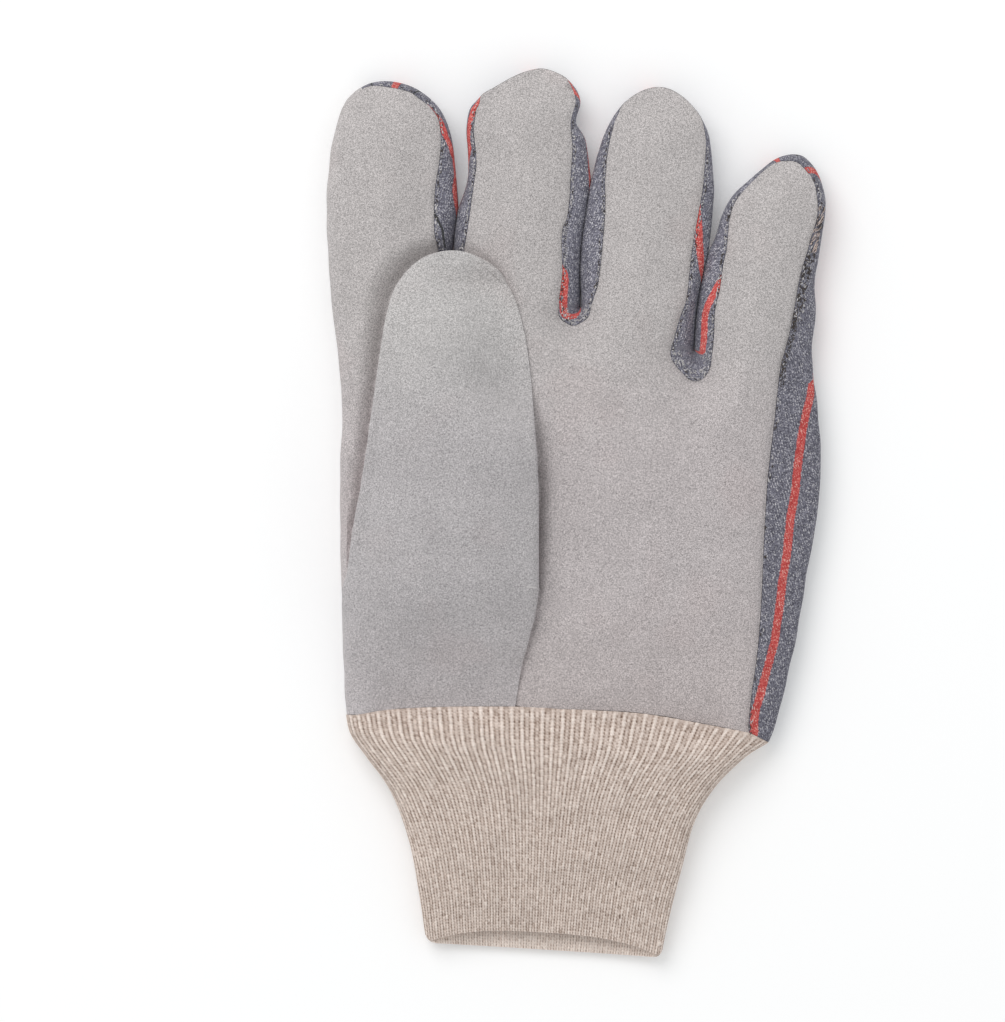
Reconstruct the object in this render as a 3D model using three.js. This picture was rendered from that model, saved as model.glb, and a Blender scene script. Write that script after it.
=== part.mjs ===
// A left-hand work glove with a suede palm, a striped cloth back and a rib-knit wrist.
// It lies on its back, palm up, with the thumb folded flat across the palm.
// Millimetres. X runs across the hand, Y towards the finger tips and Z up from the table.
//
// The glove is one thin skin. Its outline in plan is a chain of rows, and each row gives the
// line where the top sheet ends (the seam) and the line of the widest point (the side). A band
// closes each side from the seam, round the widest point, to a flat sheet on the table.
// Every sub-part is a patch of that skin, thickened inwards.

import * as THREE from 'three';

// Driving sizes
const leatherWall = 1.4;
const clothWall = 1.1;
const knitWall = 2.0;
const seamGap = 0.34;         // clear space between two patches that meet
const seamHeight = 11;        // top sheet's edge above the table
const sideShare = 0.6;        // the widest point's height as a share of the seam's
const tuckUnder = 4.6;        // how far the band runs back under the side
const edgeRoll = 4.0;         // top sheet's edge to the side, where the leather wraps the hand
const fingerCrown = 6;        // rise of the top sheet above its edge
const fingerHalf = 14;        // distance from the edge in which it rises
const palmCrown = 4;          // further rise of the broad palm
const palmHalf = 48;
const wallGap = 0.3;          // half the space added between the facing sides of two fingers
const foldGap = 0.8;          // space between the palm and the thumb that lies on it

// Dips in the top sheet: how deep and over what distance
const dips = { tip: { depth: 3, reach: 20 }, crotch: { depth: 2.6, reach: 13 }, cuff: { depth: 7, reach: 34 } };

// Outer side of the hand and of the index finger: x of the side at each y
const indexSide = [
  { y: -59.4, side: -67.4 },
  { y: -50.0, side: -68.4 },
  { y: -34.0, side: -68.9 },
  { y: -13.7, side: -68.9, mark: 'thumbCrotch' },
  { y: 24.0, side: -68.9 },
  { y: 50.0, side: -70.4 },
  { y: 76.0, side: -72.6, mark: 'indexBase' },
  { y: 100.0, side: -73.0 },
];

// Outer side of the little finger and of the hand: x of the seam and of the side
const littleSide = [
  { y: 85.4, seam: 69.8, side: 73.0 },
  { y: 76.6, seam: 68.3, side: 71.7 },
  { y: 67.9, seam: 66.8, side: 70.3 },
  { y: 59.1, seam: 64.2, side: 69.8 },
  { y: 44.0, seam: 60.4, side: 69.1, mark: 'littleBase' },
  { y: 24.0, seam: 57.2, side: 70.9 },
  { y: 9.4, seam: 56.0, side: 71.2 },
  { y: -19.9, seam: 54.6, side: 67.1, mark: 'handMiddle' },
  { y: -37.4, seam: 53.4, side: 64.2 },
  { y: -55.0, seam: 51.6, side: 60.1 },
  { y: -66.5, seam: 50.9, side: 56.0 },
];

// The gaps between fingers, from the tips down. A is the finger on the left of the gap, B the
// one on its right. The bottom row is where the gap ends.
const gaps = [
  {
    bottom: { seamX: -36.7, seamY: 73.1, sideX: -36.35, sideY: 75.9 },
    rows: [
      { y: 114.7, seamA: -40.5, sideA: -39.0, sideB: -30.9, seamB: -29.8 },
      { y: 105.9, seamA: -39.8, sideA: -36.3, sideB: -30.4, seamB: -29.2 },
      { y: 95.6, seamA: -41.1, sideA: -35.1, sideB: -32.1, seamB: -30.6 },
      { y: 88.9, seamA: -41.5, sideA: -34.4, sideB: -33.8, seamB: -31.2 },
      { y: 82.8, seamA: -41.4, sideA: -35.3, sideB: -34.8, seamB: -31.7 },
      { y: 77.4, seamA: -40.5, sideA: -36.4, sideB: -35.9, seamB: -33.0 },
    ],
  },
  {
    bottom: { seamX: -0.8, seamY: 54.7, sideX: 0.7, sideY: 58.0 },
    rows: [
      { y: 114.7, seamA: -0.7, sideA: 0.4, sideB: 10.5, seamB: 11.5 },
      { y: 108.8, seamA: -1.0, sideA: 2.6, sideB: 8.3, seamB: 9.5 },
      { y: 103.0, seamA: -1.4, sideA: 3.9, sideB: 6.6, seamB: 8.6 },
      { y: 96.8, seamA: -1.3, sideA: 4.3, sideB: 5.0, seamB: 7.4 },
      { y: 90.0, seamA: -1.6, sideA: 3.1, sideB: 3.6, seamB: 7.4 },
      { y: 81.6, seamA: -3.7, sideA: 1.7, sideB: 2.1, seamB: 6.9 },
      { y: 70.0, seamA: -5.0, sideA: 0.8, sideB: 1.3, seamB: 5.8 },
      { y: 59.6, seamA: -4.6, sideA: 0.5, sideB: 1.0, seamB: 3.4 },
    ],
  },
  {
    bottom: { seamX: 33.8, seamY: 38.6, sideX: 33.4, sideY: 43.4 },
    rows: [
      { y: 97.1, seamA: 38.5, sideA: 40.0, sideB: 50.0, seamB: 51.3 },
      { y: 91.3, seamA: 37.0, sideA: 40.0, sideB: 45.0, seamB: 46.6 },
      { y: 85.4, seamA: 35.5, sideA: 39.6, sideB: 41.8, seamB: 43.6 },
      { y: 79.6, seamA: 34.1, sideA: 38.9, sideB: 39.9, seamB: 42.4 },
      { y: 73.0, seamA: 33.3, sideA: 37.8, sideB: 38.3, seamB: 41.6 },
      { y: 62.0, seamA: 31.8, sideA: 35.0, sideB: 35.5, seamB: 40.6 },
      { y: 52.9, seamA: 29.4, sideA: 33.6, sideB: 34.1, seamB: 39.2 },
      { y: 46.0, seamA: 28.6, sideA: 33.2, sideB: 33.7, seamB: 38.2 },
    ],
  },
];

// Finger tips: the top point, how far the side stands past the seam there, and the roundness
// of the left and right quarters (2 is an ellipse, more is squarer)
const tips = [
  { x: -56.0, seamY: 123.8, sideY: 125.2, left: 2.4, right: 2.4 },
  { x: -10.7, seamY: 129.5, sideY: 130.2, left: 1.8, right: 2.8 },
  { x: 23.5, seamY: 123.8, sideY: 124.6, left: 1.9, right: 2.2 },
  { x: 64.2, seamY: 102.4, sideY: 104.4, left: 1.6, right: 2.4 },
];

// Thumb: x of both sides at each y, its tip, and the crease where it folds over the palm
const thumbSides = [
  { y: -2.3, left: -64.2, right: -10.2 },
  { y: 12.3, left: -61.9, right: -10.4 },
  { y: 26.9, left: -59.5, right: -11.0 },
  { y: 41.5, left: -57.8, right: -12.1 },
  { y: 54.0, left: -56.3, right: -14.0 },
];
const thumbTip = { x: -37.0, y: 76.6, left: 2.2, right: 1.9 };
const thumb = { roll: 3, tuck: 4.5, edgeRise: 7.5, crown: 6, half: 16, sideRise: 4.2, innerLift: 1.6 };

// Seam of the thumb's panel on the palm, from the cuff up to the end of the crease
const thumbSeam = [
  { x: -18.0, y: -57.0 },
  { x: -15.9, y: -49.1 },
  { x: -13.9, y: -40.4 },
  { x: -11.8, y: -31.6 },
  { x: -10.5, y: -22.8 },
];

// Seam of the cuff across the palm, left of the thumb's seam and right of it
const cuffSeamLeft = [
  { x: -55.4, y: -57.9 },
  { x: -38.5, y: -57.0 },
];
const cuffSeamRight = [
  { x: 3.4, y: -57.9 },
  { x: 20.3, y: -59.1 },
  { x: 37.0, y: -62.0 },
];

// Cuff: the two sides in plan, from the seam to the mouth, and the height of its front
const cuffRows = [
  { leftX: -66.0, leftY: -65.3, rightX: 49.2, rightY: -72.0, height: 15.5 },
  { leftX: -61.6, leftY: -71.7, rightX: 41.2, rightY: -79.9, height: 16.5 },
  { leftX: -54.6, leftY: -81.6, rightX: 35.0, rightY: -90.0, height: 16 },
  { leftX: -48.9, leftY: -97.0, rightX: 31.0, rightY: -104.0, height: 15 },
  { leftX: -45.4, leftY: -113.5, rightX: 27.6, rightY: -119.5, height: 14 },
  { leftX: -42.3, leftY: -125.6, rightX: 25.2, rightY: -129.6, height: 13 },
];
const cuff = { ribs: 84, ribDepth: 0.5, frontLip: 4.8, backLip: -0.6, roundness: 3.2, sideHeight: 6.2 };

// Mesh counts
const fingerColumns = 6;
const crotchColumns = 2;
const fingerRows = 8;
const lowerRows = 4;          // cuff to crease
const upperRows = 7;          // crease to the fingers
const thumbRows = 9;
const thumbColumns = 13;
const bandSteps = 2;          // steps of the band above and below the widest point
const tipSteps = 4;
const palmColumns = 4 * fingerColumns + 3 * crotchColumns;

// Small vector helpers on [x, y, z]
const mix = (a, b, f) => a.map((value, k) => value + (b[k] - value) * f);
const plus = (a, b, f = 1) => a.map((value, k) => value + b[k] * f);
const minus = (a, b) => a.map((value, k) => value - b[k]);
const cross = (a, b) => [a[1] * b[2] - a[2] * b[1], a[2] * b[0] - a[0] * b[2], a[0] * b[1] - a[1] * b[0]];
const dot = (a, b) => a[0] * b[0] + a[1] * b[1] + a[2] * b[2];
const unit = (a) => {
  const size = Math.hypot(...a);
  return a.map((value) => value / (size || 1));
};
const clamp01 = (value) => Math.min(1, Math.max(0, value));
const smooth = (value) => clamp01(value) ** 2 * (3 - 2 * clamp01(value));
const steps = (count) => Array.from({ length: count + 1 }, (_, k) => k / count);

// The outline: one row for each station, with the seam point, the side point and its mark
const station = (seamX, seamY, sideX, sideY, mark) => ({ seam: [seamX, seamY], side: [sideX, sideY], mark });

// One quarter of a rounded tip, without its two ends
function tipQuarter(start, tip, power, name, rising) {
  const rows = steps(tipSteps).slice(1, -1).map((share) => {
    const angle = (share * Math.PI) / 2;
    const across = Math.cos(angle) ** (2 / power);
    const up = Math.sin(angle) ** (2 / power);
    const point = (from, topY) => [tip.x + (from[0] - tip.x) * across, from[1] + (topY - from[1]) * up];
    const seam = point(start.seam, tip.seamY);
    const side = point(start.side, tip.sideY);
    return { seam, side, mark: share === 0.5 ? name : undefined };
  });
  return rising ? rows : rows.reverse();
}

const gapSide = (gap, key) => gap.rows.map((row) => station(
  row[`seam${key}`], row.y, row[`side${key}`] + (key === 'A' ? -wallGap : wallGap), row.y));

function buildOutline() {
  const rows = indexSide.map((row) => station(row.side + edgeRoll, row.y, row.side, row.y, row.mark));
  const outer = littleSide.map((row) => station(row.seam, row.y, row.side, row.y, row.mark));
  tips.forEach((tip, finger) => {
    const gap = gaps[finger];
    const down = gap ? gapSide(gap, 'A') : outer;
    rows.push(...tipQuarter(rows.at(-1), tip, tip.left, `tipLeft${finger}`, true));
    rows.push(station(tip.x, tip.seamY, tip.x, tip.sideY));
    rows.push(...tipQuarter(down[0], tip, tip.right, `tipRight${finger}`, false));
    rows.push(...down);
    if (gap) {
      rows.at(-1).mark = `crotchLeft${finger}`;
      rows.push(station(gap.bottom.seamX, gap.bottom.seamY, gap.bottom.sideX, gap.bottom.sideY));
      const up = gapSide(gap, 'B').reverse();
      up[0].mark = `crotchRight${finger}`;
      rows.push(...up);
    }
  });
  rows[0].mark = 'cuffLeft';
  rows.at(-1).mark = 'cuffRight';
  return rows;
}

const outline = buildOutline();
const curveThrough = (points) => new THREE.CatmullRomCurve3(
  points.map(([x, y, z = 0]) => new THREE.Vector3(x, y, z)), false, 'centripetal');
const seamCurve = curveThrough(outline.map((row) => row.seam));
const sideCurve = curveThrough(outline.map((row) => row.side));
const planPoint = (curve, u) => {
  const point = curve.getPoint(u);
  return [point.x, point.y];
};
const markAt = (name) => outline.findIndex((row) => row.mark === name) / (outline.length - 1);

// Places along a curve between two of its parameters, evenly spaced by length
function evenly(curve, from, to, count) {
  const fine = steps(count * 12).map((share) => from + (to - from) * share);
  const points = fine.map((u) => planPoint(curve, u));
  const lengths = [0];
  points.slice(1).forEach((point, k) => {
    lengths.push(lengths[k] + Math.hypot(point[0] - points[k][0], point[1] - points[k][1]));
  });
  return steps(count).map((share) => {
    const wanted = share * lengths.at(-1);
    const after = Math.max(1, lengths.findIndex((length) => length >= wanted - 1e-9));
    const part = (wanted - lengths[after - 1]) / (lengths[after] - lengths[after - 1]);
    return fine[after - 1] + (fine[after] - fine[after - 1]) * part;
  });
}

// Distance in plan from a point to a chain of points
function distanceTo(chain, x, y) {
  let best = Infinity;
  for (let k = 1; k < chain.length; k += 1) {
    const [ax, ay] = chain[k - 1];
    const [bx, by] = chain[k];
    const span = (bx - ax) ** 2 + (by - ay) ** 2;
    const part = clamp01(((x - ax) * (bx - ax) + (y - ay) * (by - ay)) / (span || 1));
    best = Math.min(best, Math.hypot(x - ax - part * (bx - ax), y - ay - part * (by - ay)));
  }
  return best;
}

const cuffLine = [
  outline[0].seam,
  ...cuffSeamLeft.map((row) => [row.x, row.y]),
  [thumbSeam[0].x, thumbSeam[0].y],
  ...cuffSeamRight.map((row) => [row.x, row.y]),
  outline.at(-1).seam,
];
const seamChain = evenly(seamCurve, 0, 1, 320).map((u) => planPoint(seamCurve, u));
const rounding = (distance, half) => 1 - (1 - clamp01(distance / half)) ** 2.2;
const dipAt = (distance, { depth, reach }) => depth * (1 - clamp01(distance / reach)) ** 2;

const handSideChain = evenly(seamCurve, 0, markAt('tipLeft0'), 60).map((u) => planPoint(seamCurve, u));

// Height of the crowned top sheet, lower towards the cuff
function crownHeight(x, y, edge, broad) {
  const crown = fingerCrown * rounding(edge, fingerHalf) + palmCrown * smooth(broad / palmHalf);
  const cuffDip = dipAt(distanceTo(cuffLine, x, y), dips.cuff) * (0.25 + 0.75 * smooth(broad / fingerHalf));
  return seamHeight + crown - cuffDip;
}

// Height of the palm and finger fronts above the table
function topHeight(x, y) {
  const edge = distanceTo(seamChain, x, y);
  const near = (px, py) => Math.hypot(x - px, y - py);
  const tipDip = Math.max(...tips.map((tip) => dipAt(near(tip.x, tip.seamY), dips.tip)));
  const crotchDip = Math.max(...gaps.map((gap) => dipAt(near(gap.bottom.seamX, gap.bottom.seamY), dips.crotch)));
  return crownHeight(x, y, edge, edge) - tipDip - crotchDip;
}

// Height on which the thumb lies: it bridges the dip between the fingers
const thumbBed = (x, y) => crownHeight(x, y, distanceTo(handSideChain, x, y), distanceTo(seamChain, x, y));

// One row of the side band, from the top sheet's edge round the widest point to the lower edge
function bandRow(top, side, low, above = bandSteps, below = bandSteps) {
  const lean = Math.PI / 3;
  const upper = steps(above).map((share) => {
    const angle = lean * (1 - share);
    const inward = (1 - Math.cos(angle)) / (1 - Math.cos(lean));
    const up = Math.sin(angle) / Math.sin(lean);
    return [...mix(side.slice(0, 2), top.slice(0, 2), inward), side[2] + (top[2] - side[2]) * up];
  });
  const lower = steps(below).slice(1).map((share) => {
    const angle = (Math.PI / 2) * share;
    const inward = 1 - Math.cos(angle);
    return [...mix(side.slice(0, 2), low.slice(0, 2), inward), side[2] + (low[2] - side[2]) * Math.sin(angle)];
  });
  return [...upper, ...lower];
}

// The three lines of the glove's edge at one place of the outline
function edgeAt(u) {
  const [seamX, seamY] = planPoint(seamCurve, u);
  const [sideX, sideY] = planPoint(sideCurve, u);
  const inward = unit([seamX - sideX, seamY - sideY]);
  const top = [seamX, seamY, topHeight(seamX, seamY)];
  const side = [sideX, sideY, top[2] * sideShare];
  const low = [sideX + inward[0] * tuckUnder, sideY + inward[1] * tuckUnder, 0];
  return { top, side, low };
}

const edgesBetween = (from, to, count) => evenly(seamCurve, markAt(from), markAt(to), count).map(edgeAt);

// A patch of points between four edges that share their corners
function fill(bottom, top, left, right) {
  const columns = bottom.length - 1;
  const rows = left.length - 1;
  return left.map((_, j) => bottom.map((__, i) => {
    const u = i / columns;
    const v = j / rows;
    const across = mix(left[j], right[j], u);
    const along = mix(bottom[i], top[i], v);
    const low = mix(bottom[0], bottom[columns], u);
    const high = mix(top[0], top[columns], u);
    return plus(plus(across, along), mix(low, high, v), -1);
  }));
}

const line = (from, to, count) => steps(count).map((share) => mix(from, to, share));
function curveLine(points, count) {
  const curve = curveThrough(points);
  return evenly(curve, 0, 1, count).map((u) => planPoint(curve, u));
}
const flatten = (points) => points.map((point) => point.slice(0, 2));

// The skin: a pool of shared points and, for each sub-part, its faces
const pool = [];
const poolIndex = new Map();
const faces = { palm_leather: [], thumb_outer_leather: [], thumb_inner_leather: [], back_cloth: [] };
function addPoint(point) {
  const key = point.map((value) => Math.round(value * 1e4)).join();
  if (!poolIndex.has(key)) {
    poolIndex.set(key, pool.length);
    pool.push(point);
  }
  return poolIndex.get(key);
}

// Adds a grid of points as faces; its rows run up and its columns run right when seen from outside
function addGrid(part, grid, turned = false) {
  const ids = grid.map((row) => row.map(addPoint));
  for (let j = 1; j < ids.length; j += 1) {
    for (let i = 1; i < ids[j].length; i += 1) {
      const corners = [ids[j - 1][i - 1], ids[j - 1][i], ids[j][i], ids[j][i - 1]];
      if (turned) corners.reverse();
      const [a, b, c, d] = corners;
      [[a, b, c], [a, c, d]].forEach((face) => {
        if (new Set(face).size === 3) faces[part].push(face);
      });
    }
  }
}

// Sheets of one finger, above and below, and the bands beside it
const raise = (grid) => grid.map((row) => row.map(([x, y]) => [x, y, topHeight(x, y)]));
const lay = (grid) => grid.map((row) => row.map(([x, y]) => [x, y, 0]));
const tops = (edges) => flatten(edges.map((edge) => edge.top));
const lows = (edges) => flatten(edges.map((edge) => edge.low));
const band = (edges) => edges.map((edge) => bandRow(edge.top, edge.side, edge.low));
const marksOf = (finger) => ({
  left: finger === 0 ? 'indexBase' : `crotchRight${finger - 1}`,
  right: finger === 3 ? 'littleBase' : `crotchLeft${finger}`,
});

function addFinger(finger) {
  const marks = marksOf(finger);
  const left = edgesBetween(marks.left, `tipLeft${finger}`, fingerRows);
  const tip = edgesBetween(`tipLeft${finger}`, `tipRight${finger}`, fingerColumns);
  const right = edgesBetween(`tipRight${finger}`, marks.right, fingerRows);
  [[tops, raise, 'palm_leather', false], [lows, lay, 'back_cloth', true]].forEach(([pick, lift, part, turned]) => {
    const leftLine = pick(left);
    const rightLine = pick(right).reverse();
    const base = line(leftLine[0], rightLine[0], fingerColumns);
    addGrid(part, lift(fill(base, pick(tip), leftLine, rightLine)), turned);
  });
  addGrid(finger === 0 ? 'palm_leather' : 'back_cloth', band(left), true);
  addGrid('back_cloth', band(tip), true);
  addGrid('back_cloth', band(right), true);
}

// Palm blocks. The crease and the thumb's seam bound the lower left block, which is the thumb's.
const seamPoints = curveLine(thumbSeam.map((row) => [row.x, row.y]), lowerRows);
const creaseEnd = seamPoints.at(-1);
const sides = {
  lowerLeft: edgesBetween('cuffLeft', 'thumbCrotch', lowerRows),
  upperLeft: edgesBetween('thumbCrotch', 'indexBase', upperRows),
  lowerRight: edgesBetween('handMiddle', 'cuffRight', lowerRows).reverse(),
  upperRight: edgesBetween('littleBase', 'handMiddle', upperRows).reverse(),
};

function crotchLine(pick) {
  const points = [];
  tips.forEach((_, finger) => {
    const marks = marksOf(finger);
    const [start, end] = [marks.left, marks.right].map((mark) => pick([edgeAt(markAt(mark))])[0]);
    points.push(...line(start, end, fingerColumns).slice(finger === 0 ? 0 : 1));
    if (finger < 3) {
      points.push(...pick(edgesBetween(`crotchLeft${finger}`, `crotchRight${finger}`, crotchColumns)).slice(1));
    }
  });
  return points;
}

function palmBlocks(pick) {
  const [lowerLeft, upperLeft] = [pick(sides.lowerLeft), pick(sides.upperLeft)];
  const [lowerRight, upperRight] = [pick(sides.lowerRight), pick(sides.upperRight)];
  const seamFoot = [thumbSeam[0].x, thumbSeam[0].y];
  const panelEdge = seamPoints.map(([x, y]) => [x - thumb.roll, y]);
  const footLeft = [lowerLeft[0], ...cuffSeamLeft.map((row) => [row.x, row.y]), seamFoot];
  const panelFoot = [...footLeft.slice(0, -1), panelEdge[0]];
  const footRight = [seamFoot, ...cuffSeamRight.map((row) => [row.x, row.y]), lowerRight[0]];
  const rightColumns = palmColumns - thumbColumns;
  const crease = line(lowerLeft.at(-1), creaseEnd, thumbColumns);
  const panelCrease = line(lowerLeft.at(-1), panelEdge.at(-1), thumbColumns);
  const middle = line(creaseEnd, lowerRight.at(-1), rightColumns);
  return {
    thumbPanel: fill(curveLine(panelFoot, thumbColumns), panelCrease, lowerLeft, panelEdge),
    underThumb: fill(curveLine(footLeft, thumbColumns), crease, lowerLeft, seamPoints),
    lower: fill(curveLine(footRight, rightColumns), middle, seamPoints, lowerRight),
    upper: fill([...crease, ...middle.slice(1)], crotchLine(pick), upperLeft, upperRight),
  };
}

// Thumb: its plan outline, from the crease's left end round the tip to its right end
function thumbOutline() {
  const start = sides.upperLeft[0];
  const left = thumbSides.map((row) => [row.left, row.y]);
  const right = thumbSides.map((row) => [row.right, row.y]).reverse();
  const ends = { left: left.at(-1), right: right[0] };
  const quarter = (from, power) => steps(tipSteps).slice(1, -1).map((share) => {
    const angle = (share * Math.PI) / 2;
    return [
      thumbTip.x + (from[0] - thumbTip.x) * Math.cos(angle) ** (2 / power),
      from[1] + (thumbTip.y - from[1]) * Math.sin(angle) ** (2 / power),
    ];
  });
  const leftTip = quarter(ends.left, thumbTip.left);
  const rightTip = quarter(ends.right, thumbTip.right).reverse();
  const points = [
    [start.top[0] - thumb.roll, start.top[1]],
    ...left, ...leftTip, [thumbTip.x, thumbTip.y], ...rightTip, ...right, creaseEnd,
  ];
  const last = points.length - 1;
  const corner = { left: left.length + tipSteps / 2, right: last - right.length - tipSteps / 2 };
  return { curve: curveThrough(points), leftTip: corner.left / last, rightTip: corner.right / last };
}

const thumbPlan = thumbOutline();
const thumbChain = [
  ...sides.lowerLeft.map((edge) => edge.top),
  ...evenly(thumbPlan.curve, 0, 1, 120).map((u) => planPoint(thumbPlan.curve, u)),
  ...thumbSeam.map((row) => [row.x, row.y]).reverse(),
];
const creaseY = sides.upperLeft[0].top[1];
const cuffY = cuffSeamLeft.at(-1).y;

// How far the thumb's top stands above the palm
function thumbRise(x, y) {
  const up = smooth((y - cuffY) / (creaseY - cuffY + 8));
  const tipDrop = 1 - 0.3 * dipAt(Math.hypot(x - thumbTip.x, y - thumbTip.y), { depth: 1, reach: 26 });
  const bulge = thumb.crown * rounding(distanceTo(thumbChain, x, y) - thumb.roll, thumb.half);
  return up * tipDrop * (thumb.edgeRise + bulge);
}

// The lines of the thumb's edge at one place of its outline; they meet at the crease's right end
function thumbEdgeAt(u) {
  const [x, y] = planPoint(thumbPlan.curve, u);
  const ahead = thumbPlan.curve.getTangent(u);
  const inward = [ahead.y, -ahead.x];
  const at = (share) => [x + inward[0] * share, y + inward[1] * share];
  const top = at(thumb.roll);
  const low = at(thumb.tuck * (u > 0.5 ? smooth((y - creaseEnd[1]) / 15) : 1));
  const lift = thumb.innerLift * smooth((y - creaseY) / 30);
  const lowHeight = thumbBed(...low) + foldGap + lift;
  return {
    top: [...top, thumbBed(...top) + thumbRise(...top)],
    side: [x, y, lowHeight + thumb.sideRise * (1 - 0.25 * smooth((y - 50) / 25))],
    low: [...low, lowHeight],
  };
}

const thumbEdges = (from, to, count) => evenly(thumbPlan.curve, from, to, count).map(thumbEdgeAt);

function addThumb(panel) {
  const left = thumbEdges(0, thumbPlan.leftTip, thumbRows);
  const tip = thumbEdges(thumbPlan.leftTip, thumbPlan.rightTip, thumbColumns);
  const right = thumbEdges(thumbPlan.rightTip, 1, thumbRows);
  const crotch = sides.upperLeft[0];
  const cover = (grid) => grid.map((row) => row.map(([x, y]) => [x, y, thumbBed(x, y) + thumbRise(x, y)]));

  // The thumb's panel below the crease, and the roll at its right that comes down to the seam
  const lowerPanel = cover(panel);
  const creaseRow = lowerPanel.at(-1);
  const end = [...creaseEnd, topHeight(...creaseEnd) + foldGap];
  left[0] = { ...left[0], top: creaseRow[0], low: [crotch.top[0], crotch.top[1], crotch.top[2] + foldGap] };
  right[thumbRows] = { top: creaseRow.at(-1), side: plus(end, [0, 0, thumb.sideRise]), low: end };
  const seam = seamPoints.map(([x, y], j) => {
    const low = j === lowerRows ? end : [x, y, topHeight(x, y)];
    return { top: lowerPanel[j].at(-1), side: plus(low, [0, 0, thumb.sideRise * smooth(j / lowerRows)]), low };
  });
  addGrid('thumb_outer_leather', lowerPanel);
  addGrid('thumb_outer_leather', band([...seam].reverse()), true);
  const rightUp = [...right].reverse();
  const sheet = cover(fill(flatten(creaseRow), tops(tip), tops(left), tops(rightUp)));
  sheet[0] = creaseRow;
  sheet.forEach((row, j) => {
    row[0] = left[j].top;
    row[thumbColumns] = rightUp[j].top;
  });
  sheet[thumbRows] = tip.map((edge) => edge.top);
  addGrid('thumb_outer_leather', sheet);
  [left, tip, right].forEach((edges) => addGrid('thumb_outer_leather', band(edges), true));

  // Left wall below the crease: two folds at the crease that run out into one at the cuff
  const wall = sides.lowerLeft.map((edge, j) => {
    const top = lowerPanel[j][0];
    const share = smooth(j / lowerRows);
    const upper = bandRow(left[0].top, left[0].side, left[0].low);
    const lower = bandRow(crotch.top, crotch.side, crotch.low);
    const shift = (point) => [point[0] + edge.side[0] - crotch.side[0], edge.side[1], point[2]];
    const folded = [...upper, ...lower].map(shift);
    const single = bandRow(top, edge.side, edge.low, 2 * bandSteps, 2 * bandSteps + 1);
    return j === lowerRows ? [...upper, ...lower] : single.map((point, k) => mix(point, folded[k], share * 0.8));
  });
  wall.forEach((row, j) => {
    row[0] = lowerPanel[j][0];
    row[row.length - 1] = sides.lowerLeft[j].low;
  });
  addGrid('thumb_outer_leather', wall, true);

  // Underside of the thumb, which lies on the palm
  const innerBase = line(left[0].low, end, thumbColumns);
  const inner = fill(innerBase, tip.map((edge) => edge.low), left.map((edge) => edge.low), rightUp.map((edge) => edge.low));
  const chain = [...left, ...tip, ...right].map((edge) => edge.low);
  const settled = inner.map((row, j) => row.map(([x, y, z], i) => {
    const onEdge = j === thumbRows || i === 0 || i === thumbColumns;
    const lift = thumb.innerLift * smooth((y - creaseY) / 30) * (1 - clamp01(distanceTo(chain, x, y) / 9)) ** 2;
    return onEdge ? [x, y, z] : [x, y, thumbBed(x, y) + foldGap + lift];
  }));
  addGrid('thumb_inner_leather', settled, true);
  return wall;
}

tips.forEach((_, finger) => addFinger(finger));
const topBlocks = palmBlocks(tops);
const lowBlocks = palmBlocks(lows);
addGrid('palm_leather', raise(topBlocks.lower));
addGrid('palm_leather', raise(topBlocks.upper));
[lowBlocks.underThumb, lowBlocks.lower, lowBlocks.upper].forEach((grid) => {
  addGrid('back_cloth', lay(grid), true);
});
addGrid('palm_leather', band(sides.upperLeft), true);
addGrid('back_cloth', band([...sides.upperRight].reverse()), true);
addGrid('back_cloth', band([...sides.lowerRight].reverse()), true);
gaps.forEach((_, k) => {
  addGrid('back_cloth', band(edgesBetween(`crotchLeft${k}`, `crotchRight${k}`, crotchColumns)), true);
});
const leftWall = addThumb(topBlocks.thumbPanel);

// Outward direction of the skin at each point, from all the faces round it
const skinNormals = pool.map(() => [0, 0, 0]);
Object.values(faces).flat().forEach((face) => {
  const [a, b, c] = face.map((id) => pool[id]);
  const normal = cross(minus(b, a), minus(c, a));
  face.forEach((id) => { skinNormals[id] = plus(skinNormals[id], normal); });
});

function geometryFrom(points, triangles) {
  const geometry = new THREE.BufferGeometry();
  geometry.setAttribute('position', new THREE.Float32BufferAttribute(points.flat(), 3));
  geometry.setIndex(triangles.flat());
  geometry.computeVertexNormals();
  return geometry;
}

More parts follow.
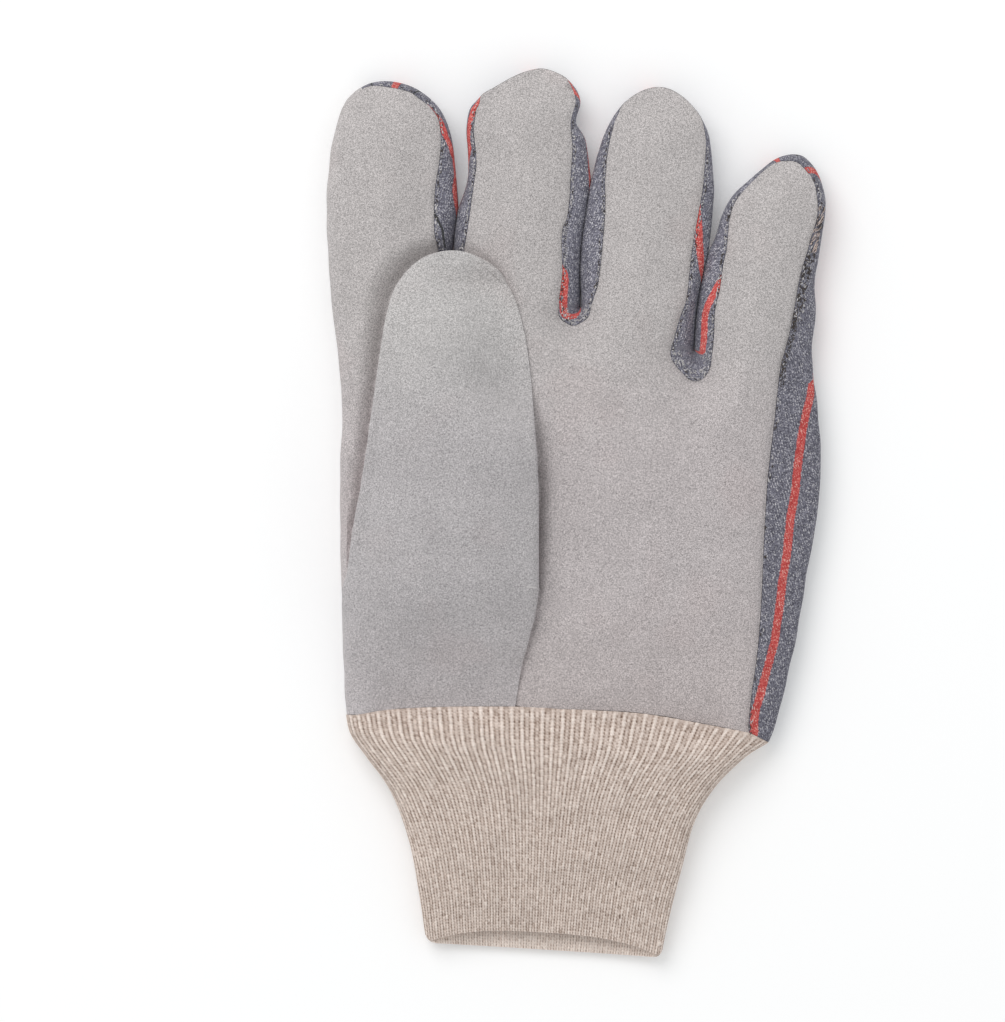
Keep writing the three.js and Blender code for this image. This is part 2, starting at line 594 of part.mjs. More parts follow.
// Thickens a patch inwards and closes its rim, which stands back from the seam by half the gap
function thicken(part, wall) {
  const edges = new Map();
  faces[part].forEach((face) => {
    const [a, b, c] = face.map((id) => pool[id]);
    const normal = unit(cross(minus(b, a), minus(c, a)));
    face.forEach((id, k) => {
      const next = face[(k + 1) % 3];
      edges.set(`${id},${next}`, { from: id, to: next, inward: unit(cross(normal, minus(pool[next], pool[id]))) });
    });
  });
  const rim = [...edges.values()].filter((edge) => !edges.has(`${edge.to},${edge.from}`));
  const insets = new Map();
  rim.forEach((edge) => [edge.from, edge.to].forEach((id) => {
    insets.set(id, [...(insets.get(id) ?? []), edge.inward]);
  }));
  const used = [...new Set(faces[part].flat())];
  const place = new Map(used.map((id, k) => [id, k]));
  const outer = used.map((id) => {
    const inward = insets.get(id);
    if (!inward) return pool[id];
    const sum = inward.reduce((total, direction) => plus(total, direction), [0, 0, 0]);
    const spread = Math.max(0.35, (1 + dot(inward[0], inward.at(-1))) / 2);
    return plus(pool[id], sum, seamGap / 2 / inward.length / spread);
  });
  const inner = used.map((id, k) => plus(outer[k], unit(skinNormals[id]), -wall));
  const count = used.length;
  const local = faces[part].map((face) => face.map((id) => place.get(id)));
  const back = local.map(([a, b, c]) => [a + count, c + count, b + count]);
  const sideFaces = rim.flatMap(({ from, to }) => {
    const [a, b] = [place.get(from), place.get(to)];
    return [[b, a, a + count], [b, a + count, b + count]];
  });
  return geometryFrom([...outer, ...inner], [...local, ...back, ...sideFaces]);
}

// Knit cuff: a ribbed tube whose top row follows the glove's open end
function evenPoints(points, count) {
  const lengths = [0];
  points.slice(1).forEach((point, k) => lengths.push(lengths[k] + Math.hypot(...minus(point, points[k]))));
  return steps(count).map((share) => {
    const wanted = share * lengths.at(-1);
    const after = Math.max(1, lengths.findIndex((length) => length >= wanted - 1e-9));
    return mix(points[after - 1], points[after], (wanted - lengths[after - 1]) / (lengths[after] - lengths[after - 1]));
  });
}

function gloveEnd() {
  const wallRow = leftWall[0];
  const leftSide = wallRow.reduce((best, point, k) => (point[0] < wallRow[best][0] ? k : best), 0);
  const rightEdge = sides.lowerRight[0];
  const rightRow = bandRow(rightEdge.top, rightEdge.side, rightEdge.low);
  const front = [...topBlocks.thumbPanel[0], ...topBlocks.lower[0]];
  const raised = front.map(([x, y]) => [x, y, topHeight(x, y)]);
  const low = [...lowBlocks.underThumb[0].slice(0, -1), ...lowBlocks.lower[0]].map(([x, y]) => [x, y, 0]);
  return {
    front: [...wallRow.slice(0, leftSide + 1).reverse().slice(0, -1), ...raised, ...rightRow.slice(1, bandSteps + 1)],
    back: [...rightRow.slice(bandSteps, -1), ...low.reverse(), ...wallRow.slice(leftSide).reverse().slice(1)],
  };
}

// One closed row of the cuff below the glove's end, from its left side over the front
function cuffRing(row, ribs, level) {
  const left = [row.leftX, row.leftY];
  const right = [row.rightX, row.rightY];
  const half = (height, lip) => steps(96).map((share) => {
    const across = 0.5 - 0.5 * Math.cos(Math.PI * share);
    const spread = Math.abs(2 * across - 1);
    const arch = (1 - spread ** cuff.roundness) ** (1 / cuff.roundness);
    const [x, y] = mix(left, right, across);
    return [x, y + lip * (1 - spread ** 3), cuff.sideHeight + (height - cuff.sideHeight) * arch];
  });
  const front = evenPoints(half(row.height, cuff.frontLip * level), ribs);
  const back = evenPoints(half(cuff.ribDepth / 2, cuff.backLip * level), ribs).reverse();
  return [...front.slice(0, -1), ...back.slice(0, -1)];
}

function buildCuff() {
  const end = gloveEnd();
  const columns = 2 * cuff.ribs;
  const top = [...evenPoints(end.front, cuff.ribs).slice(0, -1), ...evenPoints(end.back, cuff.ribs).slice(0, -1)];
  const rings = [top, ...cuffRows.map((row, k) => cuffRing(row, cuff.ribs, smooth(k / (cuffRows.length - 1))))];
  const at = (j, i) => rings[Math.min(rings.length - 1, Math.max(0, j))][(i + columns) % columns];
  const normals = rings.map((ring, j) => ring.map((_, i) => {
    const around = minus(at(j, i + 1), at(j, i - 1));
    const along = minus(at(j + 1, i), at(j - 1, i));
    const normal = cross(along, around);
    return unit(j === 0 ? [normal[0], 0, normal[2]] : normal);
  }));
  const down = (i) => minus(at(1, i), at(0, i));
  const outer = rings.map((ring, j) => ring.map((point, i) => {
    const rib = (i % 2 ? -0.5 : 0.5) * cuff.ribDepth * (j === 0 ? 0.5 : 1);
    const set = plus(point, normals[j][i], rib);
    const clear = j === 0 ? plus(set, unit(down(i)), seamGap / 2) : set;
    return [clear[0], clear[1], Math.max(0, clear[2])];
  }));
  const inner = rings.map((ring, j) => ring.filter((_, i) => i % 2 === 0).map((point, k) => {
    const set = plus(point, normals[j][2 * k], -knitWall);
    return j === 0 ? plus(set, unit(down(2 * k)), seamGap / 2) : set;
  }));
  const points = [...outer.flat(), ...inner.flat()];
  const out = (j, i) => j * columns + ((i + columns) % columns);
  const inn = (j, k) => outer.length * columns + j * cuff.ribs + ((k + cuff.ribs) % cuff.ribs);
  const triangles = [];
  for (let j = 1; j < rings.length; j += 1) {
    for (let i = 0; i < columns; i += 1) {
      triangles.push([out(j - 1, i), out(j, i), out(j, i + 1)], [out(j - 1, i), out(j, i + 1), out(j - 1, i + 1)]);
    }
    for (let k = 0; k < cuff.ribs; k += 1) {
      triangles.push([inn(j - 1, k), inn(j, k + 1), inn(j, k)], [inn(j - 1, k), inn(j - 1, k + 1), inn(j, k + 1)]);
    }
  }
  const last = rings.length - 1;
  for (let k = 0; k < cuff.ribs; k += 1) {
    const i = 2 * k;
    triangles.push(
      [out(0, i), out(0, i + 1), inn(0, k)],
      [out(0, i + 1), out(0, i + 2), inn(0, k + 1)],
      [out(0, i + 1), inn(0, k + 1), inn(0, k)],
      [out(last, i + 1), out(last, i), inn(last, k)],
      [out(last, i + 2), out(last, i + 1), inn(last, k + 1)],
      [inn(last, k + 1), out(last, i + 1), inn(last, k)],
    );
  }
  return geometryFrom(points, triangles);
}

// Materials
const suede = new THREE.MeshStandardMaterial({ color: 0xb4b0af, roughness: 0.95, metalness: 0 });
const suedeThumb = new THREE.MeshStandardMaterial({ color: 0xb2afaf, roughness: 0.95, metalness: 0 });
const suedeInner = new THREE.MeshStandardMaterial({ color: 0xa9a4a4, roughness: 0.95, metalness: 0 });
const stripedCloth = new THREE.MeshStandardMaterial({ color: 0x646473, roughness: 0.9, metalness: 0 });
const knit = new THREE.MeshStandardMaterial({ color: 0xc0b0a4, roughness: 0.95, metalness: 0 });

const glove = new THREE.Group();
function addPart(name, geometry, material) {
  const mesh = new THREE.Mesh(geometry, material);
  mesh.name = name;
  glove.add(mesh);
}

addPart('palm_leather', thicken('palm_leather', leatherWall), suede);
addPart('thumb_outer_leather', thicken('thumb_outer_leather', leatherWall), suedeThumb);
addPart('thumb_inner_leather', thicken('thumb_inner_leather', leatherWall), suedeInner);
addPart('back_cloth', thicken('back_cloth', clothWall), stripedCloth);
addPart('knit_cuff', buildCuff(), knit);

export default glove;
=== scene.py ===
"""A left-hand work glove that lies palm up: suede palm and thumb, striped cloth back, rib-knit cuff.

Metres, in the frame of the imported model. The glove is one thin skin. Its outline in plan has two
lines, the seam where the top sheet ends and the side, which is the widest point. A band closes
each side from the seam, round the widest point, to a flat sheet on the table. The skin is made of
grids of points. Each piece takes some of them, and is thickened inwards.
"""
import math
import bpy
import numpy as np
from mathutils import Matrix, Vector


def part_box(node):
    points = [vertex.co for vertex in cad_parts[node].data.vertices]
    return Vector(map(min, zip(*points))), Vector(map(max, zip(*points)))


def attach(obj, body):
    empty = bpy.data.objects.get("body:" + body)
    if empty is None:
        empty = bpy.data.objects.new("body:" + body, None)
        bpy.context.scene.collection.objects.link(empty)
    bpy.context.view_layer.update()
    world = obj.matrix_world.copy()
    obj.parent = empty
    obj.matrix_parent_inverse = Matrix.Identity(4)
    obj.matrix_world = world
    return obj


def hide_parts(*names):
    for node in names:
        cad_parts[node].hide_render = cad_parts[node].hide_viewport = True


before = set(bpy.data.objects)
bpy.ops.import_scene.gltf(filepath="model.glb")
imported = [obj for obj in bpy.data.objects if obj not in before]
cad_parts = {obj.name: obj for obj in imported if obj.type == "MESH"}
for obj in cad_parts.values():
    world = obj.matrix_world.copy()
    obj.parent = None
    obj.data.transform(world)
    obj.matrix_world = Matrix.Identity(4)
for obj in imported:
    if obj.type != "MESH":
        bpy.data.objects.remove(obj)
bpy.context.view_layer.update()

# The photograph's frame, in pixels, and the glove's place in it
PHOTO_WIDTH, PHOTO_HEIGHT = 1005, 1022
GLOVE_PX = (576.5, 512.0)
PIXEL = 0.0002925             # size of a pixel on the glove
LENS, SENSOR = 500.0, 36.0    # millimetres, as Blender's camera has them
GLOVE_MIDDLE_HEIGHT = 0.012

# Light and floor
WORLD_COLOUR, WORLD_STRENGTH = (0.975, 0.995, 1.0, 1.0), 0.70
KEY_PLACE, KEY_SIZE = (-0.78, 1.26, 1.64), 1.7
KEY_COLOUR, KEY_POWER = (1.03, 1.0, 0.995), 19.0
FLOOR_HALF, FLOOR_DROP = 4.0, 0.0004   # half its side, and how far below the glove it lies
FLOOR_COLOUR, FLOOR_GLOW = (0.92, 0.92, 0.92, 1.0), 0.143

# Driving sizes of the skin
LEATHER_WALL = 0.0014
CLOTH_WALL = 0.0011
KNIT_WALL = 0.0020
SEAM_GAP = 0.00016
CUFF_INSET_FROM = 0.0004      # nearer to the cuff than this the gap closes
LEAST_HEIGHT = 0.0002         # of the inner face above the table
SEAM_HEIGHT = 0.0115
SIDE_SHARE = 0.6              # the widest point's height as a share of the seam's
GAP_DEEPER, GAP_REACH = 0.28, 0.030   # near the bottom of a gap the share is this much less
TUCK_UNDER = 0.0046
FINGER_CROWN, FINGER_HALF = 0.0021, 0.012
PALM_EDGE_CROWN = 0.0038      # the same at the palm's edges
FINGERS_FROM, FINGERS_BLEND = 0.046, 0.034   # y from which it turns into the fingers', over what length
PALM_CROWN, PALM_HALF = 0.004, 0.048
WALL_GAP = -0.00014           # the walls of two fingers lie against each other
RIM_LEAST, RIM_SHARE = 0.0006, 0.9   # below this the leather goes this much of the way to the outline
RIM_VALLEY = 0.0016           # and below this the seam's valley is shallower
FOLD_GAP = 0.0006
BAND_LEAN = math.pi / 3
SHARP_ANGLE = math.radians(60)

# Dips in the top sheet: depth and reach
TIP_DIP = (0.003, 0.020)
CROTCH_DIP = (0.0026, 0.013)
CUFF_DIP = (0.007, 0.034)
CUFF_DIP_AT_SIDES = 0.25      # the share of it at the glove's sides

# Unevenness of the skin. A valley is its depth and width, and waves are height, length and seed.
SEAM_VALLEY = (0.00042, 0.0008)
CUFF_VALLEY = (0.00014, 0.0009)
THUMB_SEAM_VALLEY = (0.0004, 0.0010)
VALLEY_FROM = 0.0035          # height above the table from which the seam is sunken
UPWARD_FROM, UPWARD_OVER = 0.1, 0.4   # upward part of a normal from which, and over which, leather is uneven
LEATHER_WAVES, LEATHER_EDGE = [(0.00020, 0.017, 3), (0.00007, 0.006, 4)], 0.003
PUCKER_HEIGHT, PUCKER_WIDTH, PUCKER_REACH, PUCKER_EDGE = 0.00018, 0.00105, 0.0018, 0.0006
PUCKER_WAVES = (0.4, 0.012, 5)
BACK_WAVES, BACK_STRETCH, BACK_EDGE = (0.0011, 0.020, 6), [1.0, 0.55, 1.0], 0.014
WALL_WAVES, WALL_STRETCH, WALL_EDGE = (0.00010, 0.009, 7), [1, 1, 0.4], 0.004
WALL_FOOT, WALL_FOOT_OVER = 0.002, 0.004

# Outer side of the hand and of the index finger: y, x of the side, width of the rolled edge, mark
INDEX_SIDE = [
    (-0.0594, -0.0675, 0.0032, None),
    (-0.0500, -0.0680, 0.0032, None),
    (-0.0430, -0.0683, 0.0032, None),
    (-0.0340, -0.0686, 0.0028, None),
    (-0.0222, -0.0688, 0.0016, "thumb_crotch"),
    (-0.0080, -0.0692, 0.0020, None),
    (0.0152, -0.0691, 0.0028, None),
    (0.0269, -0.0685, 0.0032, None),
    (0.0386, -0.0690, 0.0032, None),
    (0.0503, -0.0703, 0.0032, None),
    (0.0620, -0.0717, 0.0032, None),
    (0.0766, -0.0727, 0.0032, "index_base"),
    (0.0913, -0.0731, 0.0032, None),
]

# Outer side of the little finger and of the hand: x, y of the seam, x, y of the side, mark
LITTLE_SIDE = [
    (0.0668, 0.0731, 0.0707, 0.0731, None),
    (0.0657, 0.0693, 0.0700, 0.0693, None),
    (0.0648, 0.0649, 0.0698, 0.0649, None),
    (0.0641, 0.0605, 0.0701, 0.0605, None),
    (0.0633, 0.0562, 0.0699, 0.0562, None),
    (0.0624, 0.0518, 0.0694, 0.0518, None),
    (0.0612, 0.0474, 0.0689, 0.0474, None),
    (0.0600, 0.0430, 0.0691, 0.0430, "little_base"),
    (0.0593, 0.0386, 0.0695, 0.0386, None),
    (0.0588, 0.0342, 0.0701, 0.0342, None),
    (0.0582, 0.0284, 0.0708, 0.0284, None),
    (0.0575, 0.0225, 0.0712, 0.0225, None),
    (0.0566, 0.0152, 0.0715, 0.0152, None),
    (0.0560, 0.0094, 0.0713, 0.0094, None),
    (0.0556, 0.0035, 0.0709, 0.0035, None),
    (0.0551, -0.0053, 0.0699, -0.0053, None),
    (0.0547, -0.0140, 0.0682, -0.0140, None),
    (0.0544, -0.0220, 0.0668, -0.0220, "hand_middle"),
    (0.0534, -0.0374, 0.0643, -0.0374, None),
    (0.0524, -0.0462, 0.0623, -0.0462, None),
    (0.0515, -0.0521, 0.0610, -0.0521, None),
    (0.0509, -0.0579, 0.0595, -0.0582, None),
    (0.0505, -0.0622, 0.0580, -0.0634, None),
    (0.0506, -0.0646, 0.0563, -0.0675, None),
]

# Gaps between fingers. A row of a wall is y, x of the seam, x of the side, from the tips down. The
# turn has the seam's points round the bottom of the gap, and the slit is the side's inner end.
GAPS = [
    {
        "left": [
            (0.0956, -0.0411, -0.0351),
            (0.0889, -0.0415, -0.0347),
            (0.0854, -0.0415, -0.0352),
            (0.0820, -0.0414, -0.0357),
        ],
        "turn": [
            (-0.0405, 0.0774), (-0.0400, 0.0755), (-0.0388, 0.0740), (-0.0367, 0.0731),
            (-0.0346, 0.0741), (-0.0334, 0.0756), (-0.0330, 0.0774),
        ],
        "slit": (-0.0361, 0.0768),
        "right": [
            (0.1117, -0.0303, -0.0321),
            (0.1059, -0.0297, -0.0317),
            (0.1015, -0.0295, -0.0315),
            (0.0971, -0.0301, -0.0318),
            (0.0913, -0.0309, -0.0336),
            (0.0889, -0.0312, -0.0346),
            (0.0854, -0.0317, -0.0351),
            (0.0810, -0.0324, -0.0357),
        ],
    },
    {
        "left": [
            (0.0971, -0.0016, 0.0041),
            (0.0913, -0.0019, 0.0032),
            (0.0854, -0.0028, 0.0023),
            (0.0831, -0.0038, 0.0019),
            (0.0796, -0.0042, 0.0015),
            (0.0752, -0.0041, 0.0011),
            (0.0708, -0.0039, 0.0009),
            (0.0664, -0.0043, 0.0010),
            (0.0628, -0.0048, 0.0011),
        ],
        "turn": [
            (-0.0050, 0.0594), (-0.0050, 0.0578), (-0.0044, 0.0565), (-0.0031, 0.0556), (-0.0009, 0.0547),
            (0.0010, 0.0555), (0.0028, 0.0567), (0.0037, 0.0585), (0.0041, 0.0605),
        ],
        "slit": (0.00125, 0.0602),
        "right": [
            (0.0971, 0.0082, 0.0044),
            (0.0913, 0.0083, 0.0034),
            (0.0854, 0.0081, 0.0025),
            (0.0796, 0.0076, 0.0017),
            (0.0752, 0.0072, 0.0013),
            (0.0708, 0.0067, 0.0011),
            (0.0664, 0.0060, 0.0012),
            (0.0633, 0.0050, 0.0014),
        ],
    },
    {
        "left": [
            (0.0942, 0.0371, 0.0402),
            (0.0898, 0.0363, 0.0399),
            (0.0854, 0.0355, 0.0396),
            (0.0810, 0.0347, 0.0391),
            (0.0766, 0.0340, 0.0386),
            (0.0731, 0.0336, 0.0378),
            (0.0693, 0.0332, 0.0369),
            (0.0649, 0.0328, 0.0360),
            (0.0611, 0.0321, 0.0354),
            (0.0576, 0.0308, 0.0350),
            (0.0538, 0.0296, 0.0347),
            (0.0503, 0.0287, 0.0345),
        ],
        "turn": [
            (0.0277, 0.0471), (0.0280, 0.0449), (0.0294, 0.0427), (0.0313, 0.0407), (0.0332, 0.0389),
            (0.0350, 0.0385), (0.0367, 0.0390), (0.0382, 0.0408), (0.0391, 0.0431), (0.0394, 0.0459),
        ],
        "slit": (0.0345, 0.0478),
        "right": [
            (0.0766, 0.0437, 0.0390),
            (0.0731, 0.0429, 0.0381),
            (0.0693, 0.0423, 0.0372),
            (0.0649, 0.0417, 0.0362),
            (0.0611, 0.0407, 0.0356),
            (0.0576, 0.0402, 0.0352),
            (0.0538, 0.0401, 0.0349),
            (0.0503, 0.0399, 0.0347),
        ],
    },
]
SLIT_RADIUS = 0.00004

# Finger tips: rows of x, y of the seam and x, y of the side, and the rows at the two corners
TIPS = [
    {
        "corners": (6, 13),
        "rows": [
            (-0.0681, 0.1046, -0.0720, 0.1053), (-0.0669, 0.1098, -0.0708, 0.1109),
            (-0.0660, 0.1133, -0.0698, 0.1147), (-0.0652, 0.1160, -0.0687, 0.1180),
            (-0.0649, 0.1188, -0.0673, 0.1207), (-0.0641, 0.1213, -0.0655, 0.1227),
            (-0.0627, 0.1238, -0.0632, 0.1244), (-0.0601, 0.1249, -0.0604, 0.1257),
            (-0.0572, 0.1248, -0.0572, 0.1262), (-0.0543, 0.1244, -0.0540, 0.1261),
            (-0.0513, 0.1238, -0.0507, 0.1255), (-0.0484, 0.1229, -0.0477, 0.1244),
            (-0.0458, 0.1211, -0.0449, 0.1227), (-0.0436, 0.1194, -0.0424, 0.1207),
            (-0.0417, 0.1175, -0.0402, 0.1183), (-0.0403, 0.1152, -0.0385, 0.1154),
            (-0.0397, 0.1125, -0.0372, 0.1120), (-0.0395, 0.1094, -0.0364, 0.1088),
            (-0.0396, 0.1059, -0.0359, 0.1056), (-0.0401, 0.1015, -0.0355, 0.1015),
        ],
    },
    {
        "corners": (3, 14),
        "rows": [
            (-0.0297, 0.1166, -0.0316, 0.1169), (-0.0294, 0.1182, -0.0308, 0.1188),
            (-0.0286, 0.1196, -0.0296, 0.1202), (-0.0277, 0.1213, -0.0281, 0.1217),
            (-0.0263, 0.1226, -0.0266, 0.1229), (-0.0240, 0.1240, -0.0242, 0.1242),
            (-0.0211, 0.1257, -0.0212, 0.1260), (-0.0183, 0.1272, -0.0184, 0.1275),
            (-0.0155, 0.1284, -0.0156, 0.1287), (-0.0129, 0.1292, -0.0129, 0.1295),
            (-0.0104, 0.1295, -0.0104, 0.1299), (-0.0078, 0.1291, -0.0077, 0.1294),
            (-0.0053, 0.1280, -0.0051, 0.1283), (-0.0032, 0.1266, -0.0028, 0.1269),
            (-0.0018, 0.1249, -0.0009, 0.1251), (-0.0007, 0.1230, 0.0004, 0.1231),
            (-0.0001, 0.1209, 0.0011, 0.1211), (-0.0001, 0.1192, 0.0012, 0.1193),
            (-0.0006, 0.1176, 0.0007, 0.1176), (-0.0011, 0.1160, 0.0001, 0.1158),
            (-0.0014, 0.1144, -0.0001, 0.1143), (-0.0014, 0.1129, 0.0003, 0.1130),
            (-0.0013, 0.1114, 0.0014, 0.1114), (-0.0012, 0.1095, 0.0025, 0.1095),
            (-0.0010, 0.1059, 0.0032, 0.1059), (-0.0013, 0.1015, 0.0038, 0.1012),
        ],
    },
    {
        "corners": (8, 15),
        "rows": [
            (0.0085, 0.1000, 0.0051, 0.1003), (0.0086, 0.1030, 0.0057, 0.1031),
            (0.0091, 0.1059, 0.0066, 0.1060), (0.0096, 0.1087, 0.0075, 0.1089),
            (0.0102, 0.1113, 0.0086, 0.1116), (0.0110, 0.1141, 0.0099, 0.1143),
            (0.0121, 0.1165, 0.0114, 0.1168), (0.0136, 0.1186, 0.0131, 0.1189),
            (0.0154, 0.1205, 0.0150, 0.1207), (0.0175, 0.1220, 0.0173, 0.1223),
            (0.0200, 0.1233, 0.0199, 0.1236), (0.0230, 0.1241, 0.0230, 0.1244),
            (0.0256, 0.1240, 0.0257, 0.1243), (0.0281, 0.1231, 0.0283, 0.1234),
            (0.0304, 0.1217, 0.0307, 0.1219), (0.0326, 0.1198, 0.0329, 0.1200),
            (0.0345, 0.1176, 0.0349, 0.1178), (0.0362, 0.1151, 0.0366, 0.1153),
            (0.0373, 0.1129, 0.0379, 0.1130), (0.0378, 0.1106, 0.0388, 0.1106),
            (0.0381, 0.1076, 0.0393, 0.1075), (0.0379, 0.1038, 0.0397, 0.1037),
            (0.0376, 0.0994, 0.0400, 0.0993),
        ],
    },
    {
        "corners": (7, 15),
        "rows": [
            (0.0440, 0.0796, 0.0402, 0.0794), (0.0443, 0.0828, 0.0413, 0.0825),
            (0.0445, 0.0854, 0.0422, 0.0858), (0.0451, 0.0880, 0.0433, 0.0885),
            (0.0462, 0.0907, 0.0448, 0.0913), (0.0478, 0.0931, 0.0467, 0.0938),
            (0.0500, 0.0954, 0.0491, 0.0960), (0.0525, 0.0978, 0.0518, 0.0984),
            (0.0548, 0.1000, 0.0543, 0.1005), (0.0569, 0.1016, 0.0565, 0.1023),
            (0.0589, 0.1026, 0.0586, 0.1036), (0.0613, 0.1030, 0.0613, 0.1045),
            (0.0636, 0.1028, 0.0639, 0.1048), (0.0654, 0.1020, 0.0663, 0.1043),
            (0.0670, 0.1004, 0.0684, 0.1025), (0.0684, 0.0987, 0.0702, 0.1001),
            (0.0695, 0.0969, 0.0715, 0.0974), (0.0702, 0.0948, 0.0724, 0.0945),
            (0.0706, 0.0921, 0.0729, 0.0916), (0.0708, 0.0892, 0.0729, 0.0889),
            (0.0705, 0.0858, 0.0727, 0.0857), (0.0696, 0.0826, 0.0722, 0.0825),
            (0.0686, 0.0796, 0.0717, 0.0794), (0.0678, 0.0764, 0.0712, 0.0764),
        ],
    },
]

# Thumb in plan: x, y of its left side, of its tip and of its right side, round from the crease
THUMB_LEFT = [
    (-0.0671, -0.0178), (-0.0663, -0.0117), (-0.0655, -0.0053), (-0.0640, 0.0018), (-0.0628, 0.0094),
    (-0.0613, 0.0187), (-0.0601, 0.0275), (-0.0586, 0.0383), (-0.0575, 0.0459), (-0.0561, 0.0547),
    (-0.0550, 0.0597), (-0.0541, 0.0630), (-0.0526, 0.0663),
]
THUMB_TIP = [
    (-0.0503, 0.0696), (-0.0480, 0.0720), (-0.0455, 0.0739), (-0.0427, 0.0752), (-0.0396, 0.0761),
    (-0.0361, 0.0764), (-0.0326, 0.0760), (-0.0297, 0.0749), (-0.0266, 0.0731), (-0.0238, 0.0708),
    (-0.0214, 0.0682),
]
THUMB_RIGHT = [
    (-0.0195, 0.0653), (-0.0178, 0.0615), (-0.0162, 0.0562), (-0.0146, 0.0488), (-0.0135, 0.0404),
    (-0.0126, 0.0298), (-0.0117, 0.0181), (-0.0111, 0.0064), (-0.0110, -0.0053), (-0.0110, -0.0150),
]
THUMB_ROLL, THUMB_TUCK, THUMB_INSET = 0.003, 0.0045, 0.0002
LEFT_WIDENING, RIGHT_WIDENING = 0.014, 0.015   # above the crease, over which its edges reach those sizes
THUMB_EDGE_RISE, THUMB_CROWN = 0.0072, 0.006
THUMB_HALF, THUMB_POWER = 0.020, 1.6   # half the crown's width, and how round it is
THUMB_RISE_PAST = 0.008       # it reaches its full height this far above the crease
THUMB_TIP_DIP = (0.3, 0.026)  # share of the height that is missing at the tip, and its reach
THUMB_SIDE_RISE = 0.0042
TIP_SIDE_LESS, TIP_SIDE_FROM, TIP_SIDE_OVER = 0.25, 0.050, 0.025   # it is lower towards the tip
INNER_LIFT, INNER_LIFT_OVER, INNER_LIFT_REACH = 0.0016, 0.030, 0.009
THUMB_CLEAR = 0.0006          # the thumb's lower side stays this far below its top
THUMB_LEAST = 0.00005         # and is no thinner than this
FOLD_REACH = 0.009            # length of the double fold below the thumb's crotch

# The thumb's upper right edge lies almost flush with the palm: by what share, over what width, y where
# that starts and ends with the length that it takes, and the thumb's crown along it
THUMB_FLUSH, FLUSH_WIDTH = 0.96, 0.036
FLUSH_START, FLUSH_START_OVER = 0.021, 0.017
FLUSH_END, FLUSH_END_OVER = 0.065, 0.013
FLUSH_CROWN, FLUSH_CROWN_FROM, FLUSH_CROWN_OVER = 0.4, 0.002, 0.020

# The hollow in the palm along the thumb's edge: x, y, depth, reach
HOLLOW = [
    (-0.0679, -0.0222, 0.0006, 0.0012), (-0.0663, -0.0117, 0.0020, 0.0020),
    (-0.0655, -0.0050, 0.0026, 0.0024), (-0.0634, 0.0035, 0.0030, 0.0030),
    (-0.0620, 0.0152, 0.0034, 0.0040), (-0.0603, 0.0269, 0.0040, 0.0046),
    (-0.0586, 0.0386, 0.0044, 0.0052), (-0.0570, 0.0503, 0.0050, 0.0066),
    (-0.0546, 0.0620, 0.0052, 0.0080), (-0.0528, 0.0661, 0.0052, 0.0085),
    (-0.0499, 0.0701, 0.0048, 0.0080), (-0.0458, 0.0737, 0.0040, 0.0065),
    (-0.0414, 0.0758, 0.0030, 0.0050), (-0.0361, 0.0766, 0.0020, 0.0040),
    (-0.0297, 0.0749, 0.0014, 0.0036), (-0.0238, 0.0709, 0.0012, 0.0034),
    (-0.0187, 0.0641, 0.0008, 0.0030), (-0.0156, 0.0538, 0.0003, 0.0025),
    (-0.0132, 0.0371, 0.0002, 0.0025), (-0.0121, 0.0240, 0.0008, 0.0030),
    (-0.0113, 0.0123, 0.0022, 0.0040), (-0.0111, 0.0035, 0.0026, 0.0040),
    (-0.0111, -0.0053, 0.0026, 0.0040), (-0.0111, -0.0140, 0.0022, 0.0034),
    (-0.0110, -0.0228, 0.0008, 0.0020),
]
HOLLOW_POWER = 1.6

# Seams in plan: the thumb's panel on the palm, and the cuff left and right of it
THUMB_SEAM = [
    (-0.0179, -0.0569), (-0.0167, -0.0491), (-0.0156, -0.0433), (-0.0136, -0.0357), (-0.0123, -0.0313),
    (-0.0110, -0.0228),
]
CUFF_SEAM_LEFT = [(-0.0554, -0.0579), (-0.0385, -0.0570)]
CUFF_SEAM_RIGHT = [(0.0034, -0.0579), (0.0203, -0.0591), (0.0370, -0.0620)]

# Cuff from the seam to the mouth: x, y of the left side, x, y of the right side, front height
CUFF_ROWS = [
    (-0.0660, -0.0653, 0.0492, -0.0720, 0.0155),
    (-0.0616, -0.0717, 0.0412, -0.0799, 0.0158),
    (-0.0546, -0.0816, 0.0350, -0.0900, 0.0148),
    (-0.0489, -0.0970, 0.0310, -0.1040, 0.0128),
    (-0.0460, -0.1125, 0.0280, -0.1155, 0.0096),
    (-0.0445, -0.1224, 0.0254, -0.1268, 0.0058),
]
RIBS = 88
RIB_HEIGHT = 0.00012
STITCH_HEIGHT = 0.00036
COURSE = 0.00090              # height of one row of stitches
FRONT_LIP, BACK_LIP = 0.0053, 0.0002
CORNER_LEFT, CORNER_RIGHT, CORNER_DEPTH = 0.0034, 0.0026, 0.0039
CUFF_ROUNDNESS, CUFF_SIDE_HEIGHT = 3.2, 0.0055
PLAN_SPACING = 0.9            # how evenly the ribs are spaced in plan at the mouth

